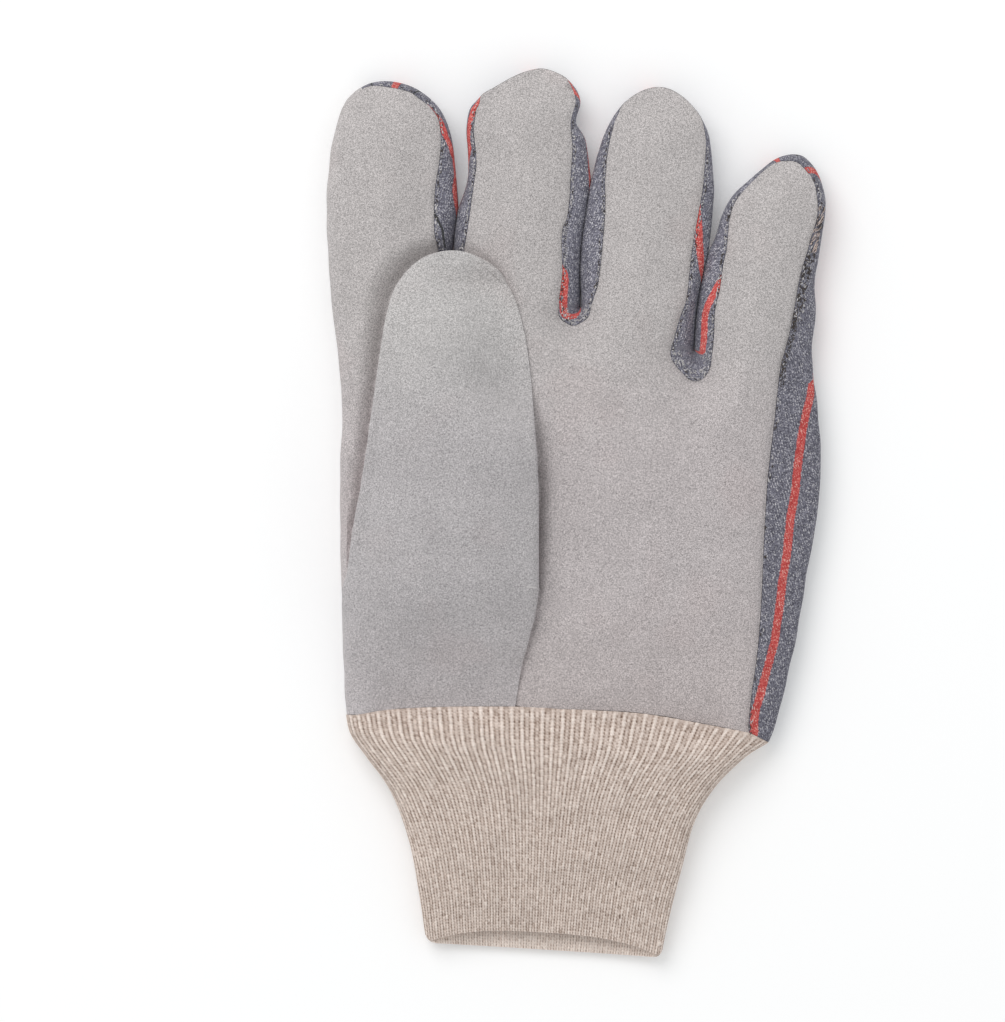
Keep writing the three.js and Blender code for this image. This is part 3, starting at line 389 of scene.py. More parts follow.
# The knit, in heights from 0 in the holes to 1 on the yarn, and in lengths of a rib or a course
PURL_HEIGHT, COLUMN_POWER = 0.86, 0.8
YARN_BASE, YARN_WAVE, YARN_SLANT = 0.72, 0.28, 1.3
HOLE_BASE, HOLE_WAVE = 0.04, 0.56
STITCH_NOISE, HOLE_NOISE = 0.04, 0.12   # random height of each stitch, and what the holes add to it
RIB_WANDER, COURSE_WANDER = 0.03, 0.12
BUNCHED_SHARE, BUNCHED_HEIGHT, BUNCHED_COURSES = 0.6, 0.62, 2.5   # it is pulled flat at the seam
MIDDLE_HEIGHT = 0.6           # of the knit, which lies on the smooth surface
MOUTH_COURSES, SIDE_RIBS = 1.5, 0.5     # over which the pattern fades at the mouth and the sides
MOUTH_SHARE, SIDE_PART = 0.4, 0.5       # what is left of it there
SEAM_RIB_SHADING, CUFF_RIB_SHADING = 0.20, 0.04   # painted light and shade on the ribs, crests lighter and grooves darker, near the seam and further down
CONTRAST_REACH = 0.45         # the share of the cuff in which it changes
INNER_PAINTED_LIGHT = 0.2             # painted light: the inner face's tone is raised this much against the shade inside the cuff

# Marks: middle, and half the width and height
SLUBS = [((0.0116, -0.1088), (0.0004, 0.0008)), ((0.0127, -0.1185), (0.0004, 0.0008))]
THUMB_SCRATCH = ((-0.0132, -0.0219), (0.0018, 0.00022))

# Stripes of the cloth
STRIPE_PITCH = 0.0187
RED_WIDTH, DARK_WIDTH = 0.0025, 0.0007
TWILL_WIDTH = 0.8             # of one rib of the twill, in millimetres

# The red stripe on the hand's outer side, as seen from above: y, x
OUTER_STRIPE = [
    (0.0386, 0.0689), (0.0342, 0.0684), (0.0298, 0.0673), (0.0240, 0.0662), (0.0152, 0.0650),
    (0.0064, 0.0641), (-0.0023, 0.0626), (-0.0111, 0.0618), (-0.0199, 0.0604), (-0.0287, 0.0594),
    (-0.0374, 0.0582), (-0.0462, 0.0561), (-0.0521, 0.0545), (-0.0579, 0.0527), (-0.0638, 0.0521),
]
# Further up it runs past the widest point: y, distance past it
OUTER_STRIPE_UNDER = [(0.0392, 0.0008), (0.0440, 0.0017), (0.0600, 0.0028), (0.0854, 0.0030)]

# The red stripe on each strip between two fingers: y, distance below the leather's edge. Round the
# bottom of the gap it is the share of the way round, and the distance.
GAP_STRIPES = [
    {
        "left": [
            (0.0825, 0.0120), (0.0869, 0.0096), (0.0895, 0.0083), (0.0942, 0.0069), (0.0986, 0.0072),
            (0.1030, 0.0059), (0.1059, 0.0043), (0.1082, 0.0032), (0.1103, 0.0017), (0.1123, 0.0011),
            (0.1147, 0.0002), (0.1176, -0.0010),
        ],
        "turn": [(0.0, 0.0120), (1.0, 0.0095)],
        "right": [
            (0.0825, 0.0095), (0.0913, 0.0075), (0.0956, 0.0068), (0.1015, 0.0055), (0.1059, 0.0029),
            (0.1088, 0.0029), (0.1147, 0.0019), (0.1188, 0.0010),
        ],
    },
    {
        "left": [
            (0.0594, 0.0014), (0.0649, 0.0011), (0.0679, 0.0009), (0.0702, 0.0003), (0.0720, -0.0011),
            (0.0752, -0.0030), (0.0801, -0.0060), (0.0869, -0.0090), (0.0977, -0.0114), (0.1123, -0.0118),
            (0.1170, -0.0125), (0.1199, -0.0137), (0.1217, -0.0165), (0.1231, -0.0182),
        ],
        "turn": [
            (0.0, 0.0014), (0.22, 0.0020), (0.42, 0.0034), (0.58, 0.0050), (0.75, 0.0085), (1.0, 0.0130),
        ],
        "right": [(0.0605, 0.0130), (0.1200, 0.0130)],
    },
    {
        "left": [
            (0.0471, 0.0150), (0.0503, 0.0150), (0.0620, 0.0100), (0.0664, 0.0075), (0.0708, 0.0043),
            (0.0737, 0.0033), (0.0766, 0.0024), (0.0796, 0.0016), (0.0825, 0.0009), (0.0854, 0.0000),
            (0.0878, -0.0007), (0.0898, -0.0012), (0.0942, -0.0024),
        ],
        "turn": [(0.0, 0.0150), (0.6, 0.0140), (0.8, 0.0090), (0.92, 0.0048), (1.0, 0.0034)],
        "right": [
            (0.0459, 0.0034), (0.0503, 0.0033), (0.0562, 0.0033), (0.0591, 0.0029), (0.0611, 0.0022),
            (0.0632, 0.0017), (0.0655, 0.0009), (0.0676, 0.0000), (0.0693, -0.0013), (0.0731, -0.0032),
            (0.0796, -0.0050),
        ],
    },
]

LINED_STRIP = (0, "left")      # the one strip that shows a dark line
PLAIN_CLOTH = 10.0            # places further along than half of this have no dark lines
FRAY = [0.10, 0.24, 0.50, 0.82, 1.08]   # shares of the little finger's edge where its fray changes
LADDER = (6.3, 3.8)           # rows of the outline above a gap's bottom, between which stitches show
BASE_Y, LITTLE_TOP = 0.045, 0.0854   # where the stripes of the hand end, and the little finger's bend

# Lean of the stripes on the back of each finger: y where it starts, sideways shift for each metre
FINGER_LEAN = [(0.076, 0.200), (0.076, 0.19), (0.058, 0.10)]
LEAN_SOFTNESS = 0.008
LITTLE_LEAN = 0.09            # the little finger's, above its bend
BACK_LEFT = -0.064            # x up to which the hand's stripes are spread

# Colours as on a screen, 0 to 255. Suede: in the middle, near the cuff and towards the finger tips. The tones
# near the cuff, and the thumb's towards its tip, are lighter than in the middle, partly painted light where
# the leather slopes away from the lamp.
PALM_TONES = [(187, 180, 180), (190, 181, 180), (186, 181, 180)]
THUMB_TONES = [(178, 174, 175), (187, 181, 182), (189, 186, 185)]
SCUFF, DARK_LINE, SLUB = (212, 208, 205), (48, 50, 46), (104, 82, 68)
SIDE_PAINTED_LIGHT = 1.2              # painted light on the cloth between the fingers: the same cloth, made paler by this factor

# Yarns, from the darkest to the palest: place among them and colour
BLUE_YARNS = [
    (0.0, (78, 77, 87)), (0.40, (107, 106, 117)), (0.78, (132, 131, 142)), (0.94, (170, 168, 174)),
    (1.0, (196, 194, 197)),
]
RED_YARNS = [(0.0, (172, 64, 62)), (0.55, (194, 84, 81)), (0.85, (210, 116, 110)), (1.0, (224, 170, 160))]
# The knit's darkest tones are painted shade in its holes, its palest the yarn on top
KNIT_YARN_AND_SHADE = [(0.06, (112, 92, 80)), (0.35, (168, 149, 137)), (0.68, (216, 200, 190)), (1.0, (239, 227, 218))]

# Threads: shader colours, and the least width of the edge that shows any
PALE, GREY, DARK, TAN = (0.58, 0.56, 0.56), (0.30, 0.30, 0.34), (0.085, 0.072, 0.066), (0.62, 0.51, 0.46)
THREAD_RIM = 0.0013
THREAD_SEED = 11
THREAD_WIDTHS = [0.25, 0.9, 1.0, 0.9, 0.25]   # of a thread's sections, as shares of its radius
THREAD_SIDES = 5
THREAD_TILT, THREAD_BEND = 0.35, 0.35

# Mesh counts. The first three are of lines that distances are measured to.
SEAM_STEPS, HAND_SIDE_STEPS, CLOTH_SEAM_STEPS = 320, 60, 420
THUMB_RIGHT_POINTS, THUMB_PLAN_STEPS = 60, 120
OUTER_SIDE_STEPS, CUFF_STEPS = 200, 240
FINGER_COLUMNS = 36
CROTCH_COLUMNS = 16
FINGER_STEPS = 52             # rows of a finger
LOWER_STEPS = 50              # cuff to crease
UPPER_STEPS = 96              # crease to the fingers
THUMB_STEPS = 100
THUMB_COLUMNS = 76
ABOVE_STEPS, BELOW_STEPS = 8, 6
PALM_COLUMNS = 4 * FINGER_COLUMNS + 3 * CROTCH_COLUMNS
KNIT_COLUMNS = 8              # columns of a rib
KNIT_ROWS = 3                 # rows of a course
INNER_KNIT_REACH = 0.008      # the inner face is knit this far in from the mouth, and plain beyond
INNER_ROW_STEP = 18           # rows of the outer face for each row of its plain part
INNER_KNIT_ROWS = 6.0         # rows over which its knit starts


# Camera, light and floor

def make_camera():
    data = bpy.data.cameras.new("camera")
    data.lens = LENS
    data.sensor_width = SENSOR
    distance = PHOTO_HEIGHT * PIXEL * LENS / SENSOR
    camera = bpy.data.objects.new("camera", data)
    middle = (PHOTO_WIDTH / 2 - GLOVE_PX[0], GLOVE_PX[1] - PHOTO_HEIGHT / 2)
    camera.location = (middle[0] * PIXEL, middle[1] * PIXEL, GLOVE_MIDDLE_HEIGHT + distance)
    bpy.context.collection.objects.link(camera)
    bpy.context.scene.camera = camera


def make_light():
    scene = bpy.context.scene
    scene.view_settings.view_transform = "Standard"
    world = bpy.data.worlds.new("studio")
    world.use_nodes = True
    background = world.node_tree.nodes["Background"]
    background.inputs["Color"].default_value = WORLD_COLOUR
    background.inputs["Strength"].default_value = WORLD_STRENGTH
    scene.world = world

    data = bpy.data.lights.new("key", "AREA")
    data.shape = "DISK"
    data.size = KEY_SIZE
    data.energy = KEY_POWER
    data.color = KEY_COLOUR
    light = bpy.data.objects.new("key", data)
    light.location = KEY_PLACE
    x, y, z = KEY_PLACE
    light.rotation_euler = (math.acos(z / math.hypot(x, y, z)), 0, math.atan2(-y, -x) - math.pi / 2)
    bpy.context.collection.objects.link(light)


def make_floor(material):
    half, low = FLOOR_HALF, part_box("back_cloth")[0][2] - FLOOR_DROP
    mesh = bpy.data.meshes.new("floor")
    corners = [(-half, -half, low), (half, -half, low), (half, half, low), (-half, half, low)]
    mesh.from_pydata(corners, [], [(0, 1, 2, 3)])
    mesh.materials.append(material)
    floor = bpy.data.objects.new("floor", mesh)
    bpy.context.collection.objects.link(floor)


# Small helpers on arrays

def clamp01(value):
    return np.clip(value, 0.0, 1.0)


def smooth(value):
    value = clamp01(value)
    return value * value * (3 - 2 * value)


def mix(a, b, share):
    return a + (b - a) * share


def unit(vectors):
    size = np.linalg.norm(vectors, axis=-1, keepdims=True)
    return vectors / np.maximum(size, 1e-12)


def lengths_along(points):
    return np.concatenate([[0.0], np.cumsum(np.linalg.norm(np.diff(points, axis=0), axis=1))])


def crowded(count, ends=0.72):
    """Places from 0 to 1 that lie closer together towards both ends."""
    places = np.linspace(0, 1, count + 1)
    return places - ends * np.sin(2 * np.pi * places) / (2 * np.pi)


def nearest(chain, points):
    """Distance in plan from each point to a chain of points, and the place along the chain in steps."""
    flat = points.reshape(-1, points.shape[-1])[:, :2]
    best = np.full(len(flat), np.inf)
    place = np.zeros(len(flat))
    for k, (start, step) in enumerate(zip(chain[:-1], np.diff(chain, axis=0))):
        off = flat - start
        part = clamp01((off @ step) / max(step @ step, 1e-14))
        distance = np.hypot(off[:, 0] - part * step[0], off[:, 1] - part * step[1])
        closer = distance < best
        best = np.where(closer, distance, best)
        place = np.where(closer, k + part, place)
    return best.reshape(points.shape[:-1]), place.reshape(points.shape[:-1])


def distance_to(chain, points):
    return nearest(chain, points)[0]


def waves(points, length, seed, count=14):
    """Smooth unevenness between about -1 and 1, with bumps of about the given length."""
    rng = np.random.default_rng(seed)
    total = np.zeros(points.shape[:-1])
    for _ in range(count):
        direction = rng.normal(size=3)
        direction *= 2 * np.pi / (length * rng.uniform(0.75, 1.6)) / np.linalg.norm(direction)
        total += np.sin(points @ direction + rng.uniform(0, 2 * np.pi))
    return total / math.sqrt(count)


class Curve:
    """A centripetal Catmull-Rom curve through points, with a parameter from 0 to 1."""

    def __init__(self, points):
        points = np.asarray(points, float)
        self.points = np.vstack([2 * points[0] - points[1], points, 2 * points[-1] - points[-2]])
        self.spans = len(points) - 1

    def __call__(self, u):
        place = clamp01(np.asarray(u, float)) * self.spans
        k = np.minimum(place.astype(int), self.spans - 1)
        w = (place - k)[..., None]
        a, b, c, d = (self.points[k + j] for j in range(4))
        t0, t1, t2 = (
            np.linalg.norm(q - p, axis=-1, keepdims=True) ** 0.5 for p, q in ((a, b), (b, c), (c, d))
        )
        leave = ((b - a) / t0 - (c - a) / (t0 + t1) + (c - b) / t1) * t1
        arrive = ((c - b) / t1 - (d - b) / (t1 + t2) + (d - c) / t2) * t1
        square = 3 * (c - b) - 2 * leave - arrive
        cube = 2 * (b - c) + leave + arrive
        return b + w * (leave + w * (square + w * cube))

    def evenly(self, start, end, places):
        """Parameters between two others, at the given shares of the length between them."""
        fine = np.linspace(start, end, 12 * len(places))
        lengths = lengths_along(self(fine))
        return np.interp(np.asarray(places) * lengths[-1], lengths, fine)

    def line(self, places):
        return self(self.evenly(0, 1, places))

    def tangent(self, u):
        step = 1e-4
        return unit(self(u + step) - self(u - step))


def even(count):
    return np.linspace(0, 1, count + 1)


# The outline in plan

def tip_rows(finger):
    """Rows round a finger tip, with its two corners marked."""
    names = dict(zip(TIPS[finger]["corners"], (f"tip_left{finger}", f"tip_right{finger}")))
    rows = []
    for k, (x, y, side_x, side_y) in enumerate(TIPS[finger]["rows"]):
        if math.hypot(side_x - x, side_y - y) < RIM_LEAST:
            x, y = mix(x, side_x, RIM_SHARE), mix(y, side_y, RIM_SHARE)
        rows.append(((x, y), (side_x, side_y), names.get(k)))
    return rows


def gap_rows(gap):
    """Rows down the left wall of a gap, round its bottom and up its right wall."""
    walls = GAPS[gap]
    left = [((x, y), (side - WALL_GAP, y), None) for y, x, side in walls["left"]]
    right = [((x, y), (side + WALL_GAP, y), None) for y, x, side in reversed(walls["right"])]
    slit_x, slit_y = walls["slit"]
    angles = np.pi * (1 + even(len(walls["turn"]) - 1))
    turn = [
        (seam, (slit_x + SLIT_RADIUS * math.cos(angle), slit_y + SLIT_RADIUS * math.sin(angle)), None)
        for seam, angle in zip(walls["turn"], angles)
    ]
    turn[0] = (*turn[0][:2], f"crotch_left{gap}")
    turn[-1] = (*turn[-1][:2], f"crotch_right{gap}")
    return left + turn + right


def build_outline():
    """Rows of seam point, side point and mark, from the cuff's left end round to its right end."""
    rows = [((side + roll, y), (side, y), mark) for y, side, roll, mark in INDEX_SIDE]
    for finger in range(4):
        rows += tip_rows(finger)
        if finger < 3:
            rows += gap_rows(finger)
    rows += [((x, y), (side_x, side_y), mark) for x, y, side_x, side_y, mark in LITTLE_SIDE]
    rows[0] = (*rows[0][:2], "cuff_left")
    rows[-1] = (*rows[-1][:2], "cuff_right")
    return rows


outline = build_outline()
seam_curve = Curve([row[0] for row in outline])
side_curve = Curve([row[1] for row in outline])
mark_at = {row[2]: k / (len(outline) - 1) for k, row in enumerate(outline) if row[2]}
seam_chain = seam_curve.line(even(SEAM_STEPS))
hand_side_chain = seam_curve(seam_curve.evenly(0, mark_at["tip_left0"], even(HAND_SIDE_STEPS)))
cloth_seam_places = seam_curve.evenly(mark_at["tip_left0"], 1, even(CLOTH_SEAM_STEPS))
cloth_seam_chain = seam_curve(cloth_seam_places)
rim_widths = np.linalg.norm(side_curve(cloth_seam_places) - cloth_seam_chain, axis=1)
gap_bottoms = [np.array(gap["turn"][len(gap["turn"]) // 2]) for gap in GAPS]
tip_tops = [np.array(max(tip["rows"], key=lambda row: row[1])[:2]) for tip in TIPS]
hollow_line = np.array(HOLLOW)
cuff_line = np.array([outline[0][0], *CUFF_SEAM_LEFT, THUMB_SEAM[0], *CUFF_SEAM_RIGHT, outline[-1][0]])


# Heights

def rounding(distance, half, power=1.8):
    return 1 - (1 - clamp01(distance / half)) ** power


def dip_at(distance, dip):
    depth, reach = dip
    return depth * (1 - clamp01(distance / reach)) ** 2


def crown_height(points, edge, broad):
    """Height of the top sheet without its dips between and at the ends of the fingers."""
    on_fingers = smooth((points[..., 1] - FINGERS_FROM) / FINGERS_BLEND)
    edge_crown = mix(PALM_EDGE_CROWN, FINGER_CROWN, on_fingers) * rounding(edge, FINGER_HALF)
    crown = edge_crown + PALM_CROWN * smooth(broad / PALM_HALF)
    cuff_dip = dip_at(distance_to(cuff_line, points), CUFF_DIP)
    return SEAM_HEIGHT + crown - cuff_dip * mix(CUFF_DIP_AT_SIDES, 1.0, smooth(broad / FINGER_HALF))


def top_height(points):
    """Height of the palm and finger fronts above the table."""
    edge = distance_to(seam_chain, points)

    def deepest(places, dip):
        return np.max([dip_at(np.hypot(*(points - place).T).T, dip) for place in places], axis=0)

    away, place = nearest(hollow_line[:, :2], points)
    depth, reach = (np.interp(place, np.arange(len(HOLLOW)), hollow_line[:, k]) for k in (2, 3))
    hollow = depth * (1 - clamp01(away / reach)) ** HOLLOW_POWER
    tips, crotches = deepest(tip_tops, TIP_DIP), deepest(gap_bottoms, CROTCH_DIP)
    return crown_height(points, edge, edge) - tips - crotches - hollow


def thumb_bed(points):
    """Height on which the thumb lies: it bridges the dip between the fingers."""
    return crown_height(points, distance_to(hand_side_chain, points), distance_to(seam_chain, points))


def lifted(points, height):
    height = np.broadcast_to(height, points.shape[:-1])
    return np.concatenate([points, height[..., None]], axis=-1)


# Edges and grids

def inward_at(u):
    """Direction in plan from the outline into the glove."""
    reach = 0.5 / (len(outline) - 1)
    ahead = unit(seam_curve(u + reach) - seam_curve(u - reach))
    return np.stack([ahead[:, 1], -ahead[:, 0]], axis=-1)


def edges_at(u):
    """The three lines of the glove's edge at places of the outline: top, side and low."""
    seam, side = seam_curve(u), side_curve(u)
    height = top_height(seam)
    from_slit = np.min([np.hypot(*(side - gap["slit"]).T) for gap in GAPS], axis=0)
    share = SIDE_SHARE - GAP_DEEPER * smooth(1 - from_slit / GAP_REACH)
    return {
        "top": lifted(seam, height),
        "side": lifted(side, height * share),
        "low": lifted(side + inward_at(u) * TUCK_UNDER, 0.0),
    }


def edges_between(start, end, places):
    return edges_at(seam_curve.evenly(mark_at[start], mark_at[end], places))


def reverse(edges):
    return {name: line[::-1] for name, line in edges.items()}


def band(edges, above=ABOVE_STEPS, below=BELOW_STEPS):
    """Rows from the top sheet's edge, round the widest point, to the lower edge."""
    top, side, low = (edges[name][:, None, :] for name in ("top", "side", "low"))
    angle = BAND_LEAN * (1 - even(above) ** 1.35)
    inward = (1 - np.cos(angle)) / (1 - math.cos(BAND_LEAN))
    up = np.sin(angle) / math.sin(BAND_LEAN)
    upper = np.concatenate([
        mix(side[..., :2], top[..., :2], inward[None, :, None]),
        mix(side[..., 2:], top[..., 2:], up[None, :, None]),
    ], axis=-1)
    angle = math.pi / 2 * even(below)[1:]
    lower = np.concatenate([
        mix(side[..., :2], low[..., :2], (1 - np.cos(angle))[None, :, None]),
        mix(side[..., 2:], low[..., 2:], np.sin(angle)[None, :, None]),
    ], axis=-1)
    return np.concatenate([upper, lower], axis=1)


def fill(bottom, top, left, right):
    """A patch of points between four edges that share their corners."""
    u = even(len(bottom) - 1)[None, :, None]
    v = even(len(left) - 1)[:, None, None]
    across = mix(left[:, None], right[:, None], u)
    along = mix(bottom[None], top[None], v)
    corners = mix(mix(bottom[0], bottom[-1], u), mix(top[0], top[-1], u), v)
    return across + along - corners


def straight(start, end, places):
    return mix(np.asarray(start)[None], np.asarray(end)[None], np.asarray(places)[:, None])


def cell_corners(ids):
    return ids[:-1, :-1], ids[:-1, 1:], ids[1:, 1:], ids[1:, :-1]


def split_cells(corners, turned):
    """Two triangles for each four-sided cell."""
    quads = np.stack(corners, axis=-1).reshape(-1, 4)
    if turned:
        quads = quads[:, ::-1]
    return np.concatenate([quads[:, [0, 1, 2]], quads[:, [0, 2, 3]]])


class Skin:
    """Grids of points for each piece, joined where they share points."""

    def __init__(self):
        self.grids = []

    def add(self, piece, grid, turned=False, place=None, kind="top"):
        """A grid whose rows run up and columns run right from outside, with its place on the cloth."""
        place = np.zeros((*grid.shape[:2], 2)) if place is None else place
        self.grids.append({"piece": piece, "grid": grid, "turned": turned, "place": place, "kind": kind})

    def join(self):
        flat = np.concatenate([item["grid"].reshape(-1, 3) for item in self.grids])
        keys = np.round(flat * 1e7).astype(np.int64)
        _, first, ids = np.unique(keys, axis=0, return_index=True, return_inverse=True)
        self.points = flat[first]
        kinds = np.concatenate([[item["kind"]] * (item["grid"].size // 3) for item in self.grids])
        self.kinds = kinds[first]
        start = 0
        faces = {}
        self.places = {}
        for item in self.grids:
            rows, columns = item["grid"].shape[:2]
            number = ids.ravel()[start:start + rows * columns].reshape(rows, columns)
            start += rows * columns
            triangles = split_cells(cell_corners(number), item["turned"])
            same = (triangles == np.roll(triangles, 1, axis=1)).any(axis=1)
            faces.setdefault(item["piece"], []).append(triangles[~same])
            spots = self.places.setdefault(item["piece"], np.full((len(self.points), 2), np.nan))
            spots[number.ravel()] = item["place"].reshape(-1, 2)
        self.faces = {piece: np.concatenate(parts) for piece, parts in faces.items()}

    def normals(self):
        total = np.zeros_like(self.points)
        for triangles in self.faces.values():
            a, b, c = (self.points[triangles[:, k]] for k in range(3))
            cross = np.cross(b - a, c - a)
            for k in range(3):
                np.add.at(total, triangles[:, k], cross)
        return unit(total)


# Where each point lies on the striped cloth. The first number runs across the stripes, with a red
# stripe at 0 and at each pitch, and the second runs along them.

def arc_of(rows):
    """Distance along each row of a band from its first point."""
    steps = np.linalg.norm(np.diff(rows, axis=1), axis=2)
    return np.concatenate([np.zeros((len(rows), 1)), np.cumsum(steps, axis=1)], axis=1)


class BackCloth:
    """The cloth of the back, which also runs up the hand's outer side."""

    def __init__(self):
        edges = edges_between("tip_right3", "cuff_right", even(OUTER_SIDE_STEPS))
        rows = band(edges)
        arc = arc_of(rows)
        plan = np.linalg.norm(rows[:, :ABOVE_STEPS + 1, :2] - rows[:, :1, :2], axis=2)
        y = edges["side"][:, 1]
        stripe_y, stripe_x = np.array(OUTER_STRIPE).T
        wanted = np.interp(y, stripe_y[::-1], stripe_x[::-1]) - edges["top"][:, 0]
        down = np.array([np.interp(w, p, a[:ABOVE_STEPS + 1]) for w, p, a in zip(wanted, plan, arc)])
        under_y, under = np.array(OUTER_STRIPE_UNDER).T
        past_side = arc[:, ABOVE_STEPS] + np.interp(y, under_y, under)
        down = np.where(y > under_y[0], past_side, down)
        order = np.argsort(y)
        self.y = y[order]
        self.low_x = edges["low"][order, 0]
        self.low_u = (arc[:, -1] - down)[order]
        base_x, base_u = self.low_at(BASE_Y)
        self.left_u = base_u + base_x - BACK_LEFT

    def low_at(self, y):
        """Where the sheet's right edge lies, and its place across the stripes."""
        straight_y = np.minimum(y, LITTLE_TOP)
        lean = LITTLE_LEAN * (y - straight_y)
        return np.interp(straight_y, self.y, self.low_x) + lean, np.interp(straight_y, self.y, self.low_u)

    def sheet(self, points, finger=None):
        """Places of points of the flat sheet on the table."""
        x, y = points[..., 0], points[..., 1]
        low_x, low_u = self.low_at(y)
        hand = low_u + (low_x - x) * (self.left_u - low_u) / (low_x - BACK_LEFT)
        little = low_u + low_x - x
        base_x, base_u = self.low_at(BASE_Y)
        if finger is None:
            finger = np.where(x > gap_bottoms[2][0], 3, np.where(x > gap_bottoms[1][0], 2, 1))
        start, lean = (np.array([row[k] for row in FINGER_LEAN] + [0.0])[finger] for k in (0, 1))
        rise = np.maximum(y - start, 0)
        leaning = base_u + base_x - x + lean * rise * rise / (rise + LEAN_SOFTNESS)
        upper = np.where(np.asarray(finger) == 3, little, leaning)
        return np.stack([np.where(y < BASE_Y, hand, upper), y], axis=-1)

    def up_band(self, rows, finger=None):
        """Places of a band that continues the sheet outwards and up."""
        arc = arc_of(rows)
        low = rows[:, -1, :2]
        outward = unit(rows[:, ABOVE_STEPS, :2] - low)
        step = np.stack([-outward[:, 0], outward[:, 1]], axis=-1)[:, None]
        return self.sheet(low, finger)[:, None] + step * (arc[:, -1:] - arc)[..., None]


def strip_places(gap, rows, wall):
    """Places of a strip between fingers, on its left or right wall or on the turn at its bottom."""
    arc = arc_of(rows)
    y = rows[:, 0, 1]
    along = lengths_along(rows[:, 0])
    places, depths = np.array(GAP_STRIPES[gap][wall]).T
    down = np.interp(along / along[-1] if wall == "turn" else y, places, depths)
    if (gap, wall) != LINED_STRIP:
        along = along + PLAIN_CLOTH
    return np.stack([arc - down[:, None], np.broadcast_to(along[:, None], arc.shape)], axis=-1)


# The glove's blocks

skin = Skin()
back = BackCloth()


def lay(points):
    return lifted(points[..., :2], 0.0)


def raised(points):
    return lifted(points[..., :2], top_height(points[..., :2]))


def marks_of(finger):
    """The marks at a finger's left and right base."""
    left = "index_base" if finger == 0 else f"crotch_right{finger - 1}"
    right = "little_base" if finger == 3 else f"crotch_left{finger}"
    return left, right


def add_finger(finger):
    """Adds a finger's front, back, tip and sides."""
    left_mark, right_mark = marks_of(finger)
    left = edges_between(left_mark, f"tip_left{finger}", even(FINGER_STEPS))
    tip = edges_between(f"tip_left{finger}", f"tip_right{finger}", even(FINGER_COLUMNS))
    right = edges_between(f"tip_right{finger}", right_mark, even(FINGER_STEPS))
    for line, piece in (("top", "palm"), ("low", "back")):
        left_line, right_line = left[line][:, :2], right[line][::-1, :2]
        base = straight(left_line[0], right_line[0], crowded(FINGER_COLUMNS))
        plan = fill(base, tip[line][:, :2], left_line, right_line)
        if piece == "palm":
            skin.add("palm", raised(plan), kind="finger")
        else:
            skin.add("back", lay(plan), True, back.sheet(plan, finger), "back")
    if finger == 0:
        skin.add("palm", band(left), True, kind="wall")
    else:
        rows = band(left)
        skin.add("sides", rows, True, strip_places(finger - 1, rows, "right"), "gap")
    rows = band(tip)
    skin.add("back", rows, True, back.up_band(rows, finger), "wall")
    rows = band(right)
    if finger == 3:
        skin.add("back", rows, True, back.up_band(rows, finger), "wall")
    else:
        skin.add("sides", rows, True, strip_places(finger, rows, "left"), "gap")


seam_points = Curve(THUMB_SEAM).line(even(LOWER_STEPS))
crease_end = seam_points[-1]
sides = {
    "lower_left": edges_between("cuff_left", "thumb_crotch", even(LOWER_STEPS)),
    "upper_left": edges_between("thumb_crotch", "index_base", even(UPPER_STEPS)),
    "lower_right": reverse(edges_between("hand_middle", "cuff_right", even(LOWER_STEPS))),
    "upper_right": reverse(edges_between("little_base", "hand_middle", even(UPPER_STEPS))),
}


def crotch_line(line):
    """The line across the hand at the bottoms of the fingers."""
    parts = []
    for finger in range(4):
        start, end = (edges_at(np.array([mark_at[mark]]))[line][0, :2] for mark in marks_of(finger))
        parts.append(straight(start, end, crowded(FINGER_COLUMNS))[1 if finger else 0:])
        if finger < 3:
            edges = edges_between(f"crotch_left{finger}", f"crotch_right{finger}", even(CROTCH_COLUMNS))
            parts.append(edges[line][1:, :2])
    return np.concatenate(parts)


def palm_blocks(line):
    """The blocks of the palm, or of the sheet below it, in plan."""
    lower_left, upper_left = sides["lower_left"][line][:, :2], sides["upper_left"][line][:, :2]
    lower_right, upper_right = sides["lower_right"][line][:, :2], sides["upper_right"][line][:, :2]
    panel_edge = seam_points - [THUMB_ROLL, 0]
    right_columns = PALM_COLUMNS - THUMB_COLUMNS
    foot_left = Curve([lower_left[0], *CUFF_SEAM_LEFT, THUMB_SEAM[0]]).line(even(THUMB_COLUMNS))
    panel_foot = Curve([lower_left[0], *CUFF_SEAM_LEFT, panel_edge[0]]).line(even(THUMB_COLUMNS))
    foot_right = Curve([THUMB_SEAM[0], *CUFF_SEAM_RIGHT, lower_right[0]]).line(crowded(right_columns))
    crease = straight(lower_left[-1], crease_end, even(THUMB_COLUMNS))
    panel_crease = straight(lower_left[-1], panel_edge[-1], even(THUMB_COLUMNS))
    middle = straight(crease_end, lower_right[-1], crowded(right_columns))
    return {
        "thumb_panel": fill(panel_foot, panel_crease, lower_left, panel_edge),
        "under_thumb": fill(foot_left, crease, lower_left, seam_points),
        "lower": fill(foot_right, middle, seam_points, lower_right),
        "upper": fill(np.concatenate([crease, middle[1:]]), crotch_line(line), upper_left, upper_right),
    }


# The thumb

def thumb_outline():
    """The thumb's plan from the crease's left end round the tip to its right end, and the tip's ends."""
    start = sides["upper_left"]["side"][0]
    points = [(start[0] + THUMB_INSET, start[1]), *THUMB_LEFT, *THUMB_TIP, *THUMB_RIGHT, crease_end]
    last = len(points) - 1
    first_corner = 1 + len(THUMB_LEFT)
    return Curve(points), (first_corner / last, (first_corner + len(THUMB_TIP) - 1) / last)


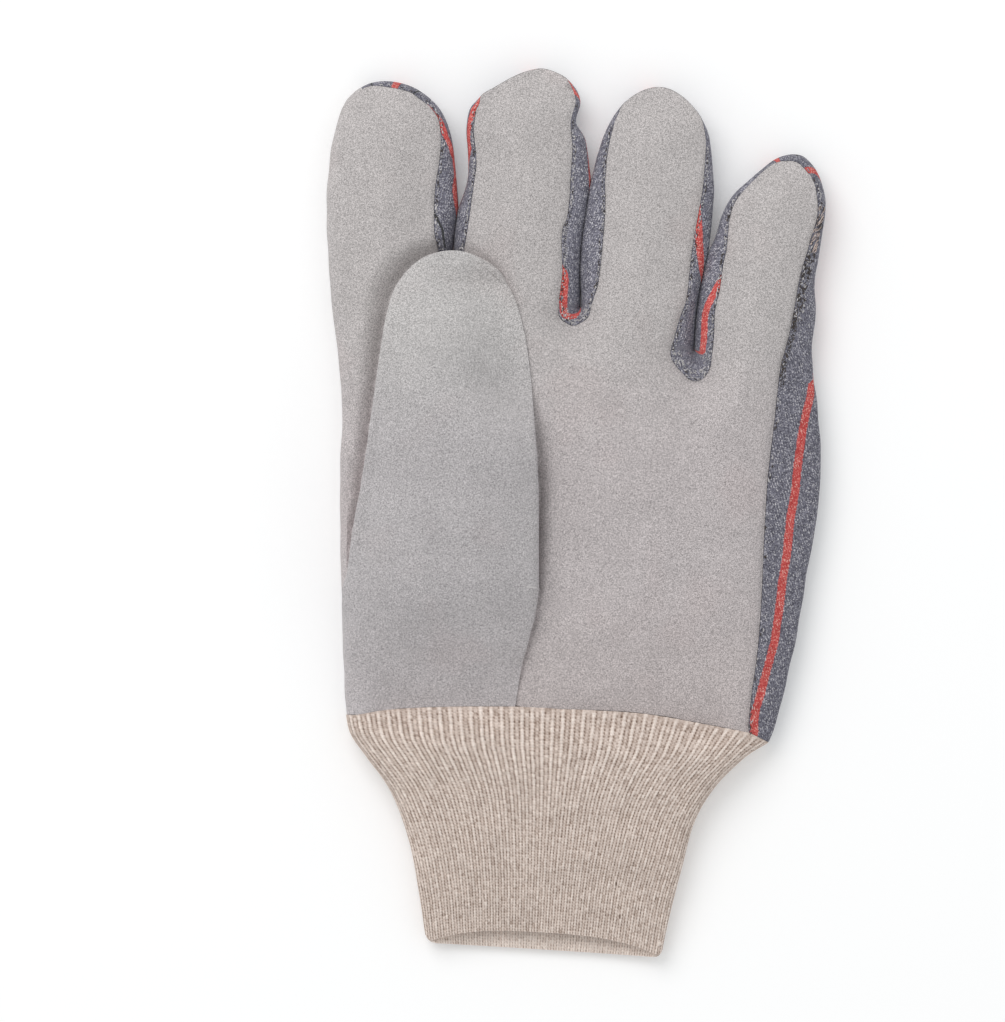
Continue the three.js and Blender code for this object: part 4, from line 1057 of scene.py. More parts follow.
thumb_curve, thumb_corners = thumb_outline()
plan_start = thumb_curve(0.0)
thumb_right_chain = thumb_curve(np.linspace(thumb_corners[1], 1, THUMB_RIGHT_POINTS))
thumb_chain = np.concatenate([
    sides["lower_left"]["side"][:, :2] + [THUMB_INSET, 0],
    thumb_curve.line(even(THUMB_PLAN_STEPS)),
    np.array(THUMB_SEAM)[::-1],
])
crease_y = sides["upper_left"]["top"][0, 1]
cuff_y = CUFF_SEAM_LEFT[-1][1]


def edge_share(points):
    """Height of the thumb's edge as a share: above its middle the right edge is almost flush."""
    y = points[..., 1]
    flush = smooth((y - FLUSH_START) / FLUSH_START_OVER) * (1 - smooth((y - FLUSH_END) / FLUSH_END_OVER))
    return 1 - THUMB_FLUSH * flush * (1 - smooth(distance_to(thumb_right_chain, points) / FLUSH_WIDTH))


def thumb_top(points):
    """Height of the thumb's top above the table."""
    up = smooth((points[..., 1] - cuff_y) / (crease_y - cuff_y + THUMB_RISE_PAST))
    from_tip = np.hypot(*(points - THUMB_TIP[len(THUMB_TIP) // 2]).T).T
    full = 1 - dip_at(from_tip, THUMB_TIP_DIP)
    share = edge_share(points)
    inside = distance_to(thumb_chain, points)
    flush = FLUSH_CROWN * smooth((inside - FLUSH_CROWN_FROM) / FLUSH_CROWN_OVER)
    crown = THUMB_CROWN * mix(flush, rounding(inside, THUMB_HALF, THUMB_POWER), share)
    return thumb_bed(points) + up * full * (THUMB_EDGE_RISE * share + crown)


def inner_lift(y):
    """How much further the thumb's underside stands off the palm above the crease."""
    return INNER_LIFT * smooth((y - crease_y) / INNER_LIFT_OVER)


def thumb_edges(start, end, places):
    """The three lines of the thumb's own edge, which rolls in above the palm."""
    u = thumb_curve.evenly(start, end, places)
    plan = thumb_curve(u)
    ahead = thumb_curve.tangent(u)
    inward = np.stack([ahead[:, 1], -ahead[:, 0]], axis=-1)
    start_roll = sides["upper_left"]["top"][0, 0] - plan_start[0]
    widening = np.where(u < 0.5, smooth((plan[:, 1] - crease_y) / LEFT_WIDENING), 1.0)
    tuck = THUMB_TUCK * np.where(u > 0.5, smooth((plan[:, 1] - crease_end[1]) / RIGHT_WIDENING), 1.0)
    tuck = mix(start_roll, tuck, widening)
    top = plan + inward * mix(start_roll, THUMB_ROLL, widening)[:, None]
    low = plan + inward * tuck[:, None]
    share = edge_share(plan)
    low_height = thumb_bed(low) + (FOLD_GAP + inner_lift(plan[:, 1])) * share
    less = TIP_SIDE_LESS * smooth((plan[:, 1] - TIP_SIDE_FROM) / TIP_SIDE_OVER)
    rise = THUMB_SIDE_RISE * (1 - less) * share
    return {
        "top": lifted(top, thumb_top(top)),
        "side": lifted(plan, low_height + rise),
        "low": lifted(low, low_height),
    }


def add_thumb(panel):
    """Adds the thumb's pieces, and returns the rows of its left wall."""
    left = thumb_edges(0, thumb_corners[0], even(THUMB_STEPS))
    tip = thumb_edges(*thumb_corners, even(THUMB_COLUMNS))
    right = thumb_edges(thumb_corners[1], 1, even(THUMB_STEPS))
    crotch = {name: line[0] for name, line in sides["upper_left"].items()}
    up = np.array([0, 0, 1.0])

    # The panel below the crease, and the roll at its right that comes down to the seam
    lower_panel = lifted(panel, thumb_top(panel))
    crease_row = lower_panel[-1]
    end = np.append(crease_end, top_height(crease_end[None])[0] + FOLD_GAP)
    left["top"][0] = crease_row[0]
    left["low"][0] = crotch["top"] + FOLD_GAP * up
    for name, point in (("top", crease_row[-1]), ("side", end + THUMB_SIDE_RISE * up), ("low", end)):
        right[name][-1] = point
    seam_low = lifted(seam_points, top_height(seam_points))
    seam_low[-1] = end
    rise = THUMB_SIDE_RISE * smooth(even(LOWER_STEPS))[:, None] * up
    seam = {"top": lower_panel[:, -1], "side": seam_low + rise, "low": seam_low}
    skin.add("thumb", lower_panel, kind="thumb")
    skin.add("thumb", band(reverse(seam)), True, kind="thumb")

    right_up = reverse(right)
    sheet = fill(crease_row[:, :2], tip["top"][:, :2], left["top"][:, :2], right_up["top"][:, :2])
    sheet = lifted(sheet, thumb_top(sheet))
    sheet[0] = crease_row
    sheet[:, 0] = left["top"]
    sheet[:, -1] = right_up["top"]
    sheet[-1] = tip["top"]
    skin.add("thumb", sheet, kind="thumb")
    for edges in (left, tip, right):
        skin.add("thumb", band(edges), True, kind="thumb")

    wall = thumb_wall(left, crotch, lower_panel[:, 0])
    skin.add("thumb", wall, True, kind="wall")
    add_underside(left["low"], tip["low"], right_up["low"])
    return wall


def thumb_wall(left, crotch, panel_edge):
    """The left wall below the crease: two folds at the crease that run out into one at the cuff."""
    upper = band({name: line[:1] for name, line in left.items()})[0]
    lower = band({name: line[None] for name, line in crotch.items()})[0]
    folds = np.concatenate([upper, lower])
    edge = sides["lower_left"]
    folded = np.repeat(folds[None], LOWER_STEPS + 1, axis=0)
    folded[..., 0] += (edge["side"][:, 0] - crotch["side"][0])[:, None]
    folded[..., 1] = edge["side"][:, 1][:, None]
    folded[..., 2] *= (panel_edge[:, 2] / folds[0, 2])[:, None]
    near = smooth((edge["side"][:, 1] - crease_y + FOLD_REACH) / FOLD_REACH)
    steps = ABOVE_STEPS + BELOW_STEPS
    single = band({**edge, "top": panel_edge}, steps, steps + 1)
    wall = mix(single, folded, near[:, None, None])
    belly = 1 - np.abs(2 * even(wall.shape[1] - 1) - 1) ** 3
    wall[..., 0] += (edge["side"][:, 0] - wall[..., 0].min(axis=1))[:, None] * belly
    wall[-1] = folds
    wall[:, 0] = panel_edge
    wall[:, -1] = edge["low"]
    return wall


def add_underside(left, tip, right):
    """The underside of the thumb, which lies on the palm, between the low lines of its edge."""
    base = straight(left[0, :2], right[0, :2], even(THUMB_COLUMNS))
    plan = fill(base, tip[:, :2], left[:, :2], right[:, :2])
    chain = np.concatenate([left, tip, right[::-1]])[::3, :2]
    lift = inner_lift(plan[..., 1]) * (1 - clamp01(distance_to(chain, plan) / INNER_LIFT_REACH)) ** 2
    sheet = lifted(plan, thumb_bed(plan) + (FOLD_GAP + lift) * edge_share(plan))
    sheet[:, 0] = left
    sheet[:, -1] = right
    sheet[-1] = tip
    skin.add("underside", sheet, True, kind="under")


def build_skin():
    """Adds every block, and returns the two halves of the glove's open end for the cuff."""
    for finger in range(4):
        add_finger(finger)
    tops, lows = palm_blocks("top"), palm_blocks("low")
    for name in ("lower", "upper"):
        skin.add("palm", raised(tops[name]), kind="palm")
    for name in ("under_thumb", "lower", "upper"):
        skin.add("back", lay(lows[name]), True, back.sheet(lows[name]), "back")
    skin.add("palm", band(sides["upper_left"]), True, kind="wall")
    for name in ("upper_right", "lower_right"):
        rows = band(reverse(sides[name]))
        skin.add("back", rows, True, back.up_band(rows), "wall")
    for gap in range(3):
        rows = band(edges_between(f"crotch_left{gap}", f"crotch_right{gap}", even(CROTCH_COLUMNS)))
        skin.add("sides", rows, True, strip_places(gap, rows, "turn"), "gap")
    wall = add_thumb(tops["thumb_panel"])[0]
    right_row = band({name: line[:1] for name, line in sides["lower_right"].items()})[0]
    leftmost = int(np.argmin(wall[:, 0]))
    front = raised(np.concatenate([tops["thumb_panel"][0], tops["lower"][0]]))
    low = lay(np.concatenate([lows["under_thumb"][0, :-1], lows["lower"][0]]))
    return (
        np.concatenate([wall[1:leftmost + 1][::-1], front, right_row[1:ABOVE_STEPS + 1]]),
        np.concatenate([right_row[ABOVE_STEPS:-1], low[::-1], wall[leftmost:][::-1][1:]]),
    )


# Unevenness of the skin, out along its normals

def valley_at(distance, valley):
    depth, width = valley
    return depth * np.exp(-(distance / width) ** 2)


def uneven(points, row):
    height, length, seed = row
    return height * waves(points, length, seed)


def relief(points, normals, kinds):
    """How far each point stands out from its smooth place."""
    seam, place = nearest(cloth_seam_chain, points)
    rim = np.interp(place, np.arange(len(rim_widths)), rim_widths)
    cuff = distance_to(cuff_line, points)
    leather = np.isin(kinds, ["palm", "finger", "thumb"])
    upward = smooth((normals[:, 2] - UPWARD_FROM) / UPWARD_OVER)

    # The seams lie in valleys
    valley = smooth(rim / RIM_VALLEY) * valley_at(seam, SEAM_VALLEY) + valley_at(cuff, CUFF_VALLEY)
    out = -np.where((points[:, 2] > VALLEY_FROM) & (kinds != "thumb"), valley, 0)
    thumb_seam = distance_to(np.array(THUMB_SEAM), points)
    out -= np.where(kinds == "palm", valley_at(thumb_seam, THUMB_SEAM_VALLEY), 0)

    # The leather is a little uneven, and puckered along the cuff
    gentle = sum(uneven(points, row) for row in LEATHER_WAVES)
    out += np.where(leather, gentle * upward * smooth(seam / LEATHER_EDGE), 0)
    strength = 1 - PUCKER_WAVES[0] + uneven(points, PUCKER_WAVES)
    pucker = PUCKER_HEIGHT * np.cos(points[:, 0] / PUCKER_WIDTH) * strength * np.exp(-cuff / PUCKER_REACH)
    out += np.where(leather, pucker * upward * smooth(cuff / PUCKER_EDGE), 0)

    # The back stands off the table in places, and its walls wave
    height, length, seed = BACK_WAVES
    off_table = 0.5 + 0.5 * np.clip(waves(points * BACK_STRETCH, length, seed), -1, 1)
    inside = smooth(distance_to(seam_chain, points) / BACK_EDGE)
    out -= np.where(kinds == "back", height * off_table * inside, 0)
    fading = smooth(seam / WALL_EDGE) * smooth((points[:, 2] - WALL_FOOT) / WALL_FOOT_OVER)
    out += np.where(kinds == "wall", uneven(points * WALL_STRETCH, WALL_WAVES) * fading, 0)
    return out


# Meshes

def rim_inset(points, triangles, amount):
    """The rim's edges, and how far each rim point moves so that the piece stands back from its seam."""
    count = len(points)
    start = triangles.ravel()
    end = np.roll(triangles, -1, axis=1).ravel()
    rim = ~np.isin(start * count + end, end * count + start)
    a, b, c = (points[triangles[:, k]] for k in range(3))
    normal = np.repeat(unit(np.cross(b - a, c - a)), 3, axis=0)[rim]
    start, end = start[rim], end[rim]
    inward = unit(np.cross(normal, points[end] - points[start]))
    total = np.zeros_like(points)
    np.add.at(total, start, inward)
    np.add.at(total, end, inward)
    return start, end, unit(total) * amount


def make_mesh(name, points, triangles, place=None, values=None):
    """A mesh with smooth faces, its points' places on the cloth, and other values for its material."""
    mesh = bpy.data.meshes.new(name)
    mesh.vertices.add(len(points))
    mesh.vertices.foreach_set("co", points.astype(np.float32).ravel())
    mesh.loops.add(triangles.size)
    mesh.loops.foreach_set("vertex_index", triangles.astype(np.int32).ravel())
    mesh.polygons.add(len(triangles))
    mesh.polygons.foreach_set("loop_start", np.arange(0, triangles.size, 3, dtype=np.int32))
    mesh.update(calc_edges=True)
    if place is not None:
        layer = mesh.uv_layers.new(name="cloth")
        layer.data.foreach_set("uv", place[triangles.ravel()].astype(np.float32).ravel())
    for key, value in (values or {}).items():
        kind, field = ("FLOAT_COLOR", "color") if value.ndim == 2 else ("FLOAT", "value")
        attribute = mesh.attributes.new(key, kind, "POINT")
        attribute.data.foreach_set(field, value.astype(np.float32).ravel())
    mesh.shade_smooth()
    mesh.set_sharp_from_angle(angle=SHARP_ANGLE)
    return mesh


def add_piece(mesh, material, slot, *nodes):
    """A piece of the scene, which replaces the named solids."""
    mesh.materials.append(material)
    piece = bpy.data.objects.new(mesh.name, mesh)
    bpy.context.collection.objects.link(piece)
    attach(piece, "root")
    if nodes:
        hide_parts(*nodes)


def thick_piece(name, part, wall, points, normals, striped=False, ceiling=None):
    """A piece of the skin, thickened inwards and closed at its rim, with its inner face below a ceiling."""
    used, local = np.unique(skin.faces[part], return_inverse=True)
    triangles = local.reshape(-1, 3)
    outer = points[used]
    start, end, inset = rim_inset(outer, triangles, SEAM_GAP / 2)
    outer = outer + inset * smooth(distance_to(cuff_line, outer) / CUFF_INSET_FROM)[:, None]
    outer[:, 2] = np.maximum(outer[:, 2], 0.0)
    inner = outer - normals[used] * wall
    inner[:, 2] = np.maximum(inner[:, 2], LEAST_HEIGHT)
    if ceiling:
        highest = np.maximum(ceiling(inner[:, :2]) - THUMB_CLEAR, outer[:, 2] + THUMB_LEAST)
        inner[:, 2] = np.minimum(inner[:, 2], highest)
    count = len(used)
    back_faces = triangles[:, [0, 2, 1]] + count
    closing = np.concatenate([
        np.stack([end, start, start + count], axis=1),
        np.stack([end, start + count, end + count], axis=1),
    ])
    spots = np.tile(skin.places[part][used], (2, 1)) if striped else None
    faces = np.concatenate([triangles, back_faces, closing])
    return make_mesh(name, np.concatenate([outer, inner]), faces, spots)


# The knit cuff

def evenly_spaced(points, count):
    """Points at equal steps along a line."""
    lengths = lengths_along(points)
    wanted = even(count) * lengths[-1]
    return np.stack([np.interp(wanted, lengths, points[:, k]) for k in range(3)], axis=-1)


def corner(distance, radius):
    """Share of the full depth at a distance from the end of the mouth: its corners are round."""
    return np.sqrt(1 - (1 - clamp01(distance / radius)) ** 2)


def cuff_half(row, lip, height, mouth):
    """The front or the back of one row of the cuff, from left to right."""
    left_x, left_y, right_x, right_y = row[:4]
    across = 0.5 - 0.5 * np.cos(np.pi * even(CUFF_STEPS))
    spread = np.abs(2 * across - 1)
    arch = (1 - spread ** CUFF_ROUNDNESS) ** (1 / CUFF_ROUNDNESS)
    x = mix(left_x, right_x, across)
    corners = np.minimum(corner(x - left_x, CORNER_LEFT), corner(right_x - x, CORNER_RIGHT))
    return np.stack([
        x,
        mix(left_y, right_y, across) + lip * (1 - spread ** 3) - mouth * CORNER_DEPTH * corners,
        CUFF_SIDE_HEIGHT + (height - CUFF_SIDE_HEIGHT) * arch,
    ], axis=-1)


def at_shares(points, shares, middle):
    """Points at given shares of a line's width, from left to right, with its middle share at a given x."""
    x = np.maximum.accumulate(points[:, 0]) + np.linspace(0, 1e-7, len(points))
    wanted = mix(x[0], x[-1], shares) + 4 * shares * (1 - shares) * (middle - (x[0] + x[-1]) / 2)
    return np.stack([wanted, np.interp(wanted, x, points[:, 1]), np.interp(wanted, x, points[:, 2])], axis=-1)


def cuff_rings(end_front, end_back, count):
    """Front and back rows of the cuff from the glove's end to the mouth, from left to right."""
    levels = smooth(even(len(CUFF_ROWS) - 1))
    front, below = [end_front], [end_back[::-1]]
    for row, level in zip(CUFF_ROWS, levels):
        mouth = float(row is CUFF_ROWS[-1])
        front.append(cuff_half(row, FRONT_LIP * level, row[4], mouth))
        below.append(cuff_half(row, BACK_LIP * level, RIB_HEIGHT / 2, mouth))

    # The middle rib runs straight, and the ribs are spaced more evenly in plan towards the mouth
    rings = []
    for half in (front, below):
        spaced = [evenly_spaced(line, count)[:, 0] for line in half[1:]]
        by_length = np.mean([(x - x[0]) / (x[-1] - x[0]) for x in spaced], axis=0)
        places = np.array([line[:, 1].mean() for line in half])
        down = (places - places[0]) / (places[-1] - places[0])
        first, last = ((line[0, 0] + line[-1, 0]) / 2 for line in (half[0], half[-1]))
        rings.append(np.array([
            at_shares(line, mix(by_length, even(count), PLAN_SPACING * smooth(part)), mix(first, last, part))
            for line, part in zip(half, down)
        ]))
    return rings


def knit_pattern(rib, course):
    """Height of the knit between 0 in the holes and 1 on the yarn, at a place in ribs and courses.

    A rib is a column of knit stitches and a column of purl stitches, with a row of holes on each side.
    """
    across = np.abs(rib - np.floor(rib) - 0.5)
    column = np.abs(np.cos(2 * np.pi * rib)) ** COLUMN_POWER * np.where(across < 0.25, 1.0, PURL_HEIGHT)
    yarn = 0.5 + 0.5 * np.cos(2 * np.pi * (course + YARN_SLANT * across))
    bridge = 0.5 + 0.5 * np.cos(2 * np.pi * course)
    return np.maximum(column * (YARN_BASE + YARN_WAVE * yarn), HOLE_BASE + HOLE_WAVE * bridge)


def knit_relief(ribs, courses, seed):
    """How far the knit stands out from its smooth surface, in and outside, and the tone of its yarn, with
    painted shade in its holes and grooves.
    """
    rib, course = even(ribs * KNIT_COLUMNS) * ribs, even(courses * KNIT_ROWS) * courses
    noise = np.random.default_rng(seed).normal(size=(courses + 1, 4 * ribs + 1))
    stitch = noise[course.astype(int)[:, None], np.rint(4 * rib).astype(int)[None]]
    wander = RIB_WANDER * np.sin(course * 0.9)[:, None] * np.sin(rib * 2.3)[None]
    height = knit_pattern(rib[None] + wander, course[:, None] + COURSE_WANDER * np.sin(rib * 2.1)[None])
    bunched = BUNCHED_SHARE * (1 - smooth(course / BUNCHED_COURSES))[:, None]
    height = mix(height, BUNCHED_HEIGHT, bunched)
    height = clamp01(height + stitch * (STITCH_NOISE + HOLE_NOISE * (1 - height)))
    ridge = 0.5 + 0.5 * np.cos(2 * np.pi * (rib - 0.5))
    inside = RIB_HEIGHT * (ridge[None] - 0.5) + STITCH_HEIGHT * (height - MIDDLE_HEIGHT)
    side = mix(SIDE_PART, 1.0, smooth(np.minimum(rib, ribs - rib) / SIDE_RIBS))
    mouth = mix(MOUTH_SHARE, 1.0, smooth((courses - course) / MOUTH_COURSES))
    outside = inside * side[None] * mouth[:, None]
    # The tone follows the knit's height, so its holes get painted shade, and the ribs get painted light on
    # their crests and painted shade in their grooves
    rib_shading = mix(SEAM_RIB_SHADING, CUFF_RIB_SHADING, smooth(course / courses / CONTRAST_REACH))
    tone = clamp01(height + rib_shading[:, None] * (ridge - 0.5)[None])
    return inside, outside, tone


def knit_half(name, rings, sign):
    """One half of the cuff, thickened inwards; sign is 1 for the front and -1 for the back."""
    ribs = RIBS // 2
    columns = ribs * KNIT_COLUMNS
    lengths = np.mean([lengths_along(rings[:, k]) for k in range(0, columns + 1, KNIT_COLUMNS)], axis=0)
    courses = int(round(lengths[-1] / COURSE))
    rows = courses * KNIT_ROWS
    places = np.interp(even(rows) * lengths[-1], lengths, even(len(rings) - 1))
    surface = Curve(rings.reshape(len(rings), -1))(places).reshape(rows + 1, columns + 1, 3)
    normal = unit(np.cross(np.gradient(surface, axis=0), np.gradient(surface, axis=1))) * sign
    inside, outside, tone = knit_relief(ribs, courses, ribs + int(sign))
    outer = surface + normal * outside[..., None]
    outer[..., 2] = np.maximum(outer[..., 2], 0.0)

    # The inner face is knit near the mouth, and has fewer rows beyond
    fine_from = rows - int(round(INNER_KNIT_REACH / COURSE)) * KNIT_ROWS
    coarse, fine = np.arange(0, fine_from, INNER_ROW_STEP), np.arange(fine_from, rows + 1)
    inner_rows = np.concatenate([coarse, fine])
    depth = KNIT_WALL + smooth((inner_rows - fine_from) / INNER_KNIT_ROWS)[:, None] * inside[inner_rows]
    inner = surface[inner_rows] - normal[inner_rows] * depth[..., None]

    faces = shell_faces(outer.shape[:2], inner_rows, sign > 0)
    # The inner face is made paler: painted light against the shade in the mouth
    yarn = np.concatenate([tone.reshape(-1), clamp01(tone[inner_rows] + INNER_PAINTED_LIGHT).reshape(-1)])
    points = np.concatenate([outer.reshape(-1, 3), inner.reshape(-1, 3)])
    return make_mesh(name, points, faces, values={"yarn": yarn})


def shell_faces(shape, inner_rows, front):
    """Faces of a grid, of its inner side that has some of its rows, and of the four edges between them."""
    every_row, every_column = (np.arange(size) for size in shape)
    outer = np.arange(shape[0] * shape[1]).reshape(shape)
    inner = np.arange(len(inner_rows) * shape[1]).reshape(-1, shape[1]) + outer.size
    faces = []
    for ids, turned in ((outer, not front), (inner, front)):
        a, b, c, d = cell_corners(ids)
        faces.append(split_cells((a, d, c, b), turned))
    return np.concatenate(faces + [
        zip_lines(outer[0], inner[0], every_column, every_column, not front),
        zip_lines(outer[-1], inner[-1], every_column, every_column, front),
        zip_lines(outer[:, 0], inner[:, 0], every_row, inner_rows, front),
        zip_lines(outer[:, -1], inner[:, -1], every_row, inner_rows, not front),
    ])


def zip_lines(first, second, first_places, second_places, turned):
    """Faces between two lines of points that run side by side, paired by their places."""
    i = j = 0
    faces = []
    while i < len(first) - 1 or j < len(second) - 1:
        if j == len(second) - 1 or (i < len(first) - 1 and first_places[i + 1] <= second_places[j + 1]):
            faces.append((first[i], first[i + 1], second[j]))
            i += 1
        else:
            faces.append((first[i], second[j + 1], second[j]))
            j += 1
    faces = np.array(faces)
    return faces[:, ::-1] if turned else faces


# Threads along the seams

def thread_bits(spots, directions, lengths, radii, colours, rng):
    """Short bent threads with pointed ends."""
    sections, sides, count = len(THREAD_WIDTHS), THREAD_SIDES, len(spots)
    directions = unit(directions)
    up = unit(rng.normal(size=(count, 3)) * THREAD_TILT + [0, 0, 1])
    across = unit(np.cross(directions, up))
    up = np.cross(across, directions)
    bend = rng.uniform(-THREAD_BEND, THREAD_BEND, size=(count, 1, 1))
    middle = (even(sections - 1) - 0.5)[None, :, None]
    centre = spots[:, None] + directions[:, None] * middle * lengths[:, None, None]
    centre = centre + across[:, None] * (0.25 - middle ** 2) * bend * lengths[:, None, None] * 2
    angle = (2 * np.pi * np.arange(sides) / sides)[None, None, :, None]
    ring = across[:, None, None] * np.cos(angle) + up[:, None, None] * np.sin(angle)
    points = centre[:, :, None] + ring * (radii[:, None] * THREAD_WIDTHS)[:, :, None, None]

    faces = []
    for s in range(sections - 1):
        for k in range(sides):
            a, b = s * sides + k, s * sides + (k + 1) % sides
            faces += [(a, b + sides, b), (a, a + sides, b + sides)]
    last = (sections - 1) * sides
    for k in range(1, sides - 1):
        faces += [(0, k, k + 1), (last, last + k + 1, last + k)]
    first = np.arange(count) * sections * sides
    triangles = (np.array(faces)[None] + first[:, None, None]).reshape(-1, 3)
    colour = np.repeat(np.concatenate([colours, np.ones((count, 1))], axis=1), sections * sides, axis=0)
    return make_mesh("seam_threads", points.reshape(-1, 3), triangles, values={"thread": colour})


def scatter(bits, rng, start, end, spacing, depth, shades, length, radius, wild, lean=0.0):
    """Threads between two places of the outline, at a random depth below the edge of the leather.

    They follow the seam, as wildly as wild says, and lean outwards.
    """
    span = lengths_along(seam_curve(np.linspace(start, end, 200)))[-1]
    count = max(2, int(span / spacing))
    jitter = rng.uniform(-0.5, 0.5, count + 1) * (end - start) / count
    places = clamp01(seam_curve.evenly(start, end, even(count)) + jitter)
    rim = np.linalg.norm(side_curve(places) - seam_curve(places), axis=1)
    places = places[rim > THREAD_RIM]
    rows = band(edges_at(places))
    for row, arc, u in zip(rows, arc_of(rows), places):
        down = rng.uniform(*depth)
        spot = [np.interp(down, arc, row[:, k]) for k in range(3)]
        ahead = np.append(seam_curve.tangent(np.array([u]))[0], 0.0)
        outward = unit(row[ABOVE_STEPS] - row[0])
        direction = ahead + outward * lean + rng.normal(size=3) * wild
        size = length * rng.uniform(0.6, 1.4), radius * rng.uniform(0.7, 1.2)
        colour = np.array(shades[rng.integers(len(shades))]) * rng.uniform(0.75, 1.15)
        bits.append((spot, direction, *size, colour))


def thread_rows():
    """Start, end, spacing, depths, shades, length, radius, wildness and lean of each run of threads."""
    whole = (0.0022, (0.0001, 0.0010), [PALE, GREY, GREY, DARK], 0.0011, 0.00021, 0.35)
    wall = (0.0007, (0.0001, 0.0009), [PALE, PALE, DARK], 0.0006, 0.00018, 0.5)
    crotch = (0.00022, (0.0001, 0.0032), [PALE, PALE, PALE, GREY], 0.0008, 0.00020, 0.9)
    rows = [(mark_at["tip_left0"], 1.0, *whole)]
    for gap in range(3):
        rows.append((mark_at[f"tip_right{gap}"], mark_at[f"crotch_left{gap}"], *wall))
        rows.append((mark_at[f"crotch_right{gap}"], mark_at[f"tip_left{gap + 1}"], *wall))
    for gap in range(3):
        rows.append((mark_at[f"crotch_left{gap}"], mark_at[f"crotch_right{gap}"], *crotch))

    # A ladder of pale stitches in one gap, and the frayed edge of the little finger
    ladder = [mark_at["crotch_left1"] - back / (len(outline) - 1) for back in LADDER]
    fray = [mix(mark_at["tip_right3"], mark_at["little_base"], share) for share in FRAY]
    return rows + [
        (*ladder, 0.0006, (0.0011, 0.0014), [PALE], 0.0009, 0.00013, 0.1, 6.0),
        (*fray[0:2], 0.0005, (0.0002, 0.0016), [PALE, GREY, DARK], 0.0008, 0.00016, 0.5),
        (*fray[1:3], 0.00028, (0.0003, 0.0026), [TAN, TAN, TAN, DARK], 0.0022, 0.00015, 0.12, -0.9),
        (*fray[2:4], 0.00011, (0.0001, 0.0028), [DARK, DARK, DARK, GREY, PALE], 0.0009, 0.00020, 0.7),
        (*fray[3:5], 0.00016, (0.0001, 0.0015), [DARK, DARK, GREY], 0.0008, 0.00018, 0.7),
    ]


def seam_threads():
    """Threads that show along the seams between leather and cloth."""
    rng = np.random.default_rng(THREAD_SEED)
    bits = []
    for row in thread_rows():
        scatter(bits, rng, *row)
    return thread_bits(*(np.array(column) for column in zip(*bits)), rng)


# Materials

class Nodes:
    """A material's nodes, with a short call for each kind that the glove uses."""

    def __init__(self, name):
        self.material = bpy.data.materials.new(name)
        self.material.use_nodes = True
        self.tree = self.material.node_tree
        self.shader = self.tree.nodes["Principled BSDF"]

    def node(self, kind, **settings):
        node = self.tree.nodes.new(kind)
        for key, value in settings.items():
            setattr(node, key, value)
        return node

    def put(self, socket, value):
        """Links a node's output to a socket, or sets the socket's own value."""
        if isinstance(value, bpy.types.NodeSocket):
            self.tree.links.new(value, socket)
        else:
            socket.default_value = value

    def math(self, operation, *values):
        node = self.node("ShaderNodeMath", operation=operation)
        for socket, value in zip(node.inputs, values):
            self.put(socket, value)
        return node.outputs[0]

    def vector(self, operation, a, b):
        node = self.node("ShaderNodeVectorMath", operation=operation)
        for socket, value in zip(node.inputs, (a, b)):
            self.put(socket, value)
        return node.outputs[0]

    def shade(self, colour, value):
        """The colour, made lighter or darker by a factor."""
        grey = self.node("ShaderNodeCombineXYZ")
        for socket in grey.inputs:
            self.put(socket, value)
        return self.mix(colour, grey.outputs[0], 1.0, "MULTIPLY")

    def range(self, value, low, high, start=0.0, end=1.0):
        """A number that goes smoothly from start to end while the value goes from low to high."""
        node = self.node("ShaderNodeMapRange", interpolation_type="SMOOTHSTEP")
        for socket, item in zip(node.inputs, (value, low, high, start, end)):
            self.put(socket, item)
        return node.outputs[0]

    def noise(self, coordinates, scale, detail=2.0, roughness=0.5):
        """Noise between 0 and 1, with its scale in bumps for each unit of the coordinates."""
        node = self.node("ShaderNodeTexNoise")
        self.put(node.inputs["Vector"], coordinates)
        for key, value in (("Scale", scale), ("Detail", detail), ("Roughness", roughness)):
            self.put(node.inputs[key], value)
        return node.outputs[0]

    def mix(self, a, b, factor, blend="MIX"):
        node = self.node("ShaderNodeMix", data_type="RGBA", blend_type=blend)
        self.put(node.inputs[0], factor)
        self.put(node.inputs[6], a)
        self.put(node.inputs[7], b)
        return node.outputs[2]

    def ramp(self, value, stops):
        """A colour picked by a value from rows of place and screen colour."""
        node = self.node("ShaderNodeValToRGB")
        ramp = node.color_ramp
        while len(ramp.elements) < len(stops):
            ramp.elements.new(0.5)
        for element, (place, colour) in zip(ramp.elements, stops):
            element.position = place
            element.color = srgb(*colour)
        self.put(node.inputs[0], value)
        return node.outputs[0]

    def spot(self, coordinates, middle, half):
        """1 inside a soft oval seen from above, given by its middle and half its width and height."""
        off = self.vector("SUBTRACT", coordinates, (*middle, 0.0))
        node = self.node("ShaderNodeVectorMath", operation="LENGTH")
        self.put(node.inputs[0], self.vector("MULTIPLY", off, (1 / half[0], 1 / half[1], 0.0)))
        return self.range(node.outputs["Value"], 1.0, 0.6)

    def bump(self, height, strength, distance):
        node = self.node("ShaderNodeBump")
        for key, value in (("Strength", strength), ("Distance", distance), ("Height", height)):
            self.put(node.inputs[key], value)
        return node.outputs[0]

    def finish(self, colour, normal=None, **values):
        """The material with its colour, its normal and further values of the shader."""
        self.put(self.shader.inputs["Base Color"], colour)
        if normal is not None:
            self.put(self.shader.inputs["Normal"], normal)
        for key, value in values.items():
            self.put(self.shader.inputs[key.replace("_", " ")], value)
        return self.material


def srgb(red, green, blue):
    """A shader colour from one read off a screen, 0 to 255."""
    shares = [value / 255 for value in (red, green, blue)]
    return (*(c / 12.92 if c <= 0.04 else ((c + 0.055) / 1.055) ** 2.4 for c in shares), 1.0)


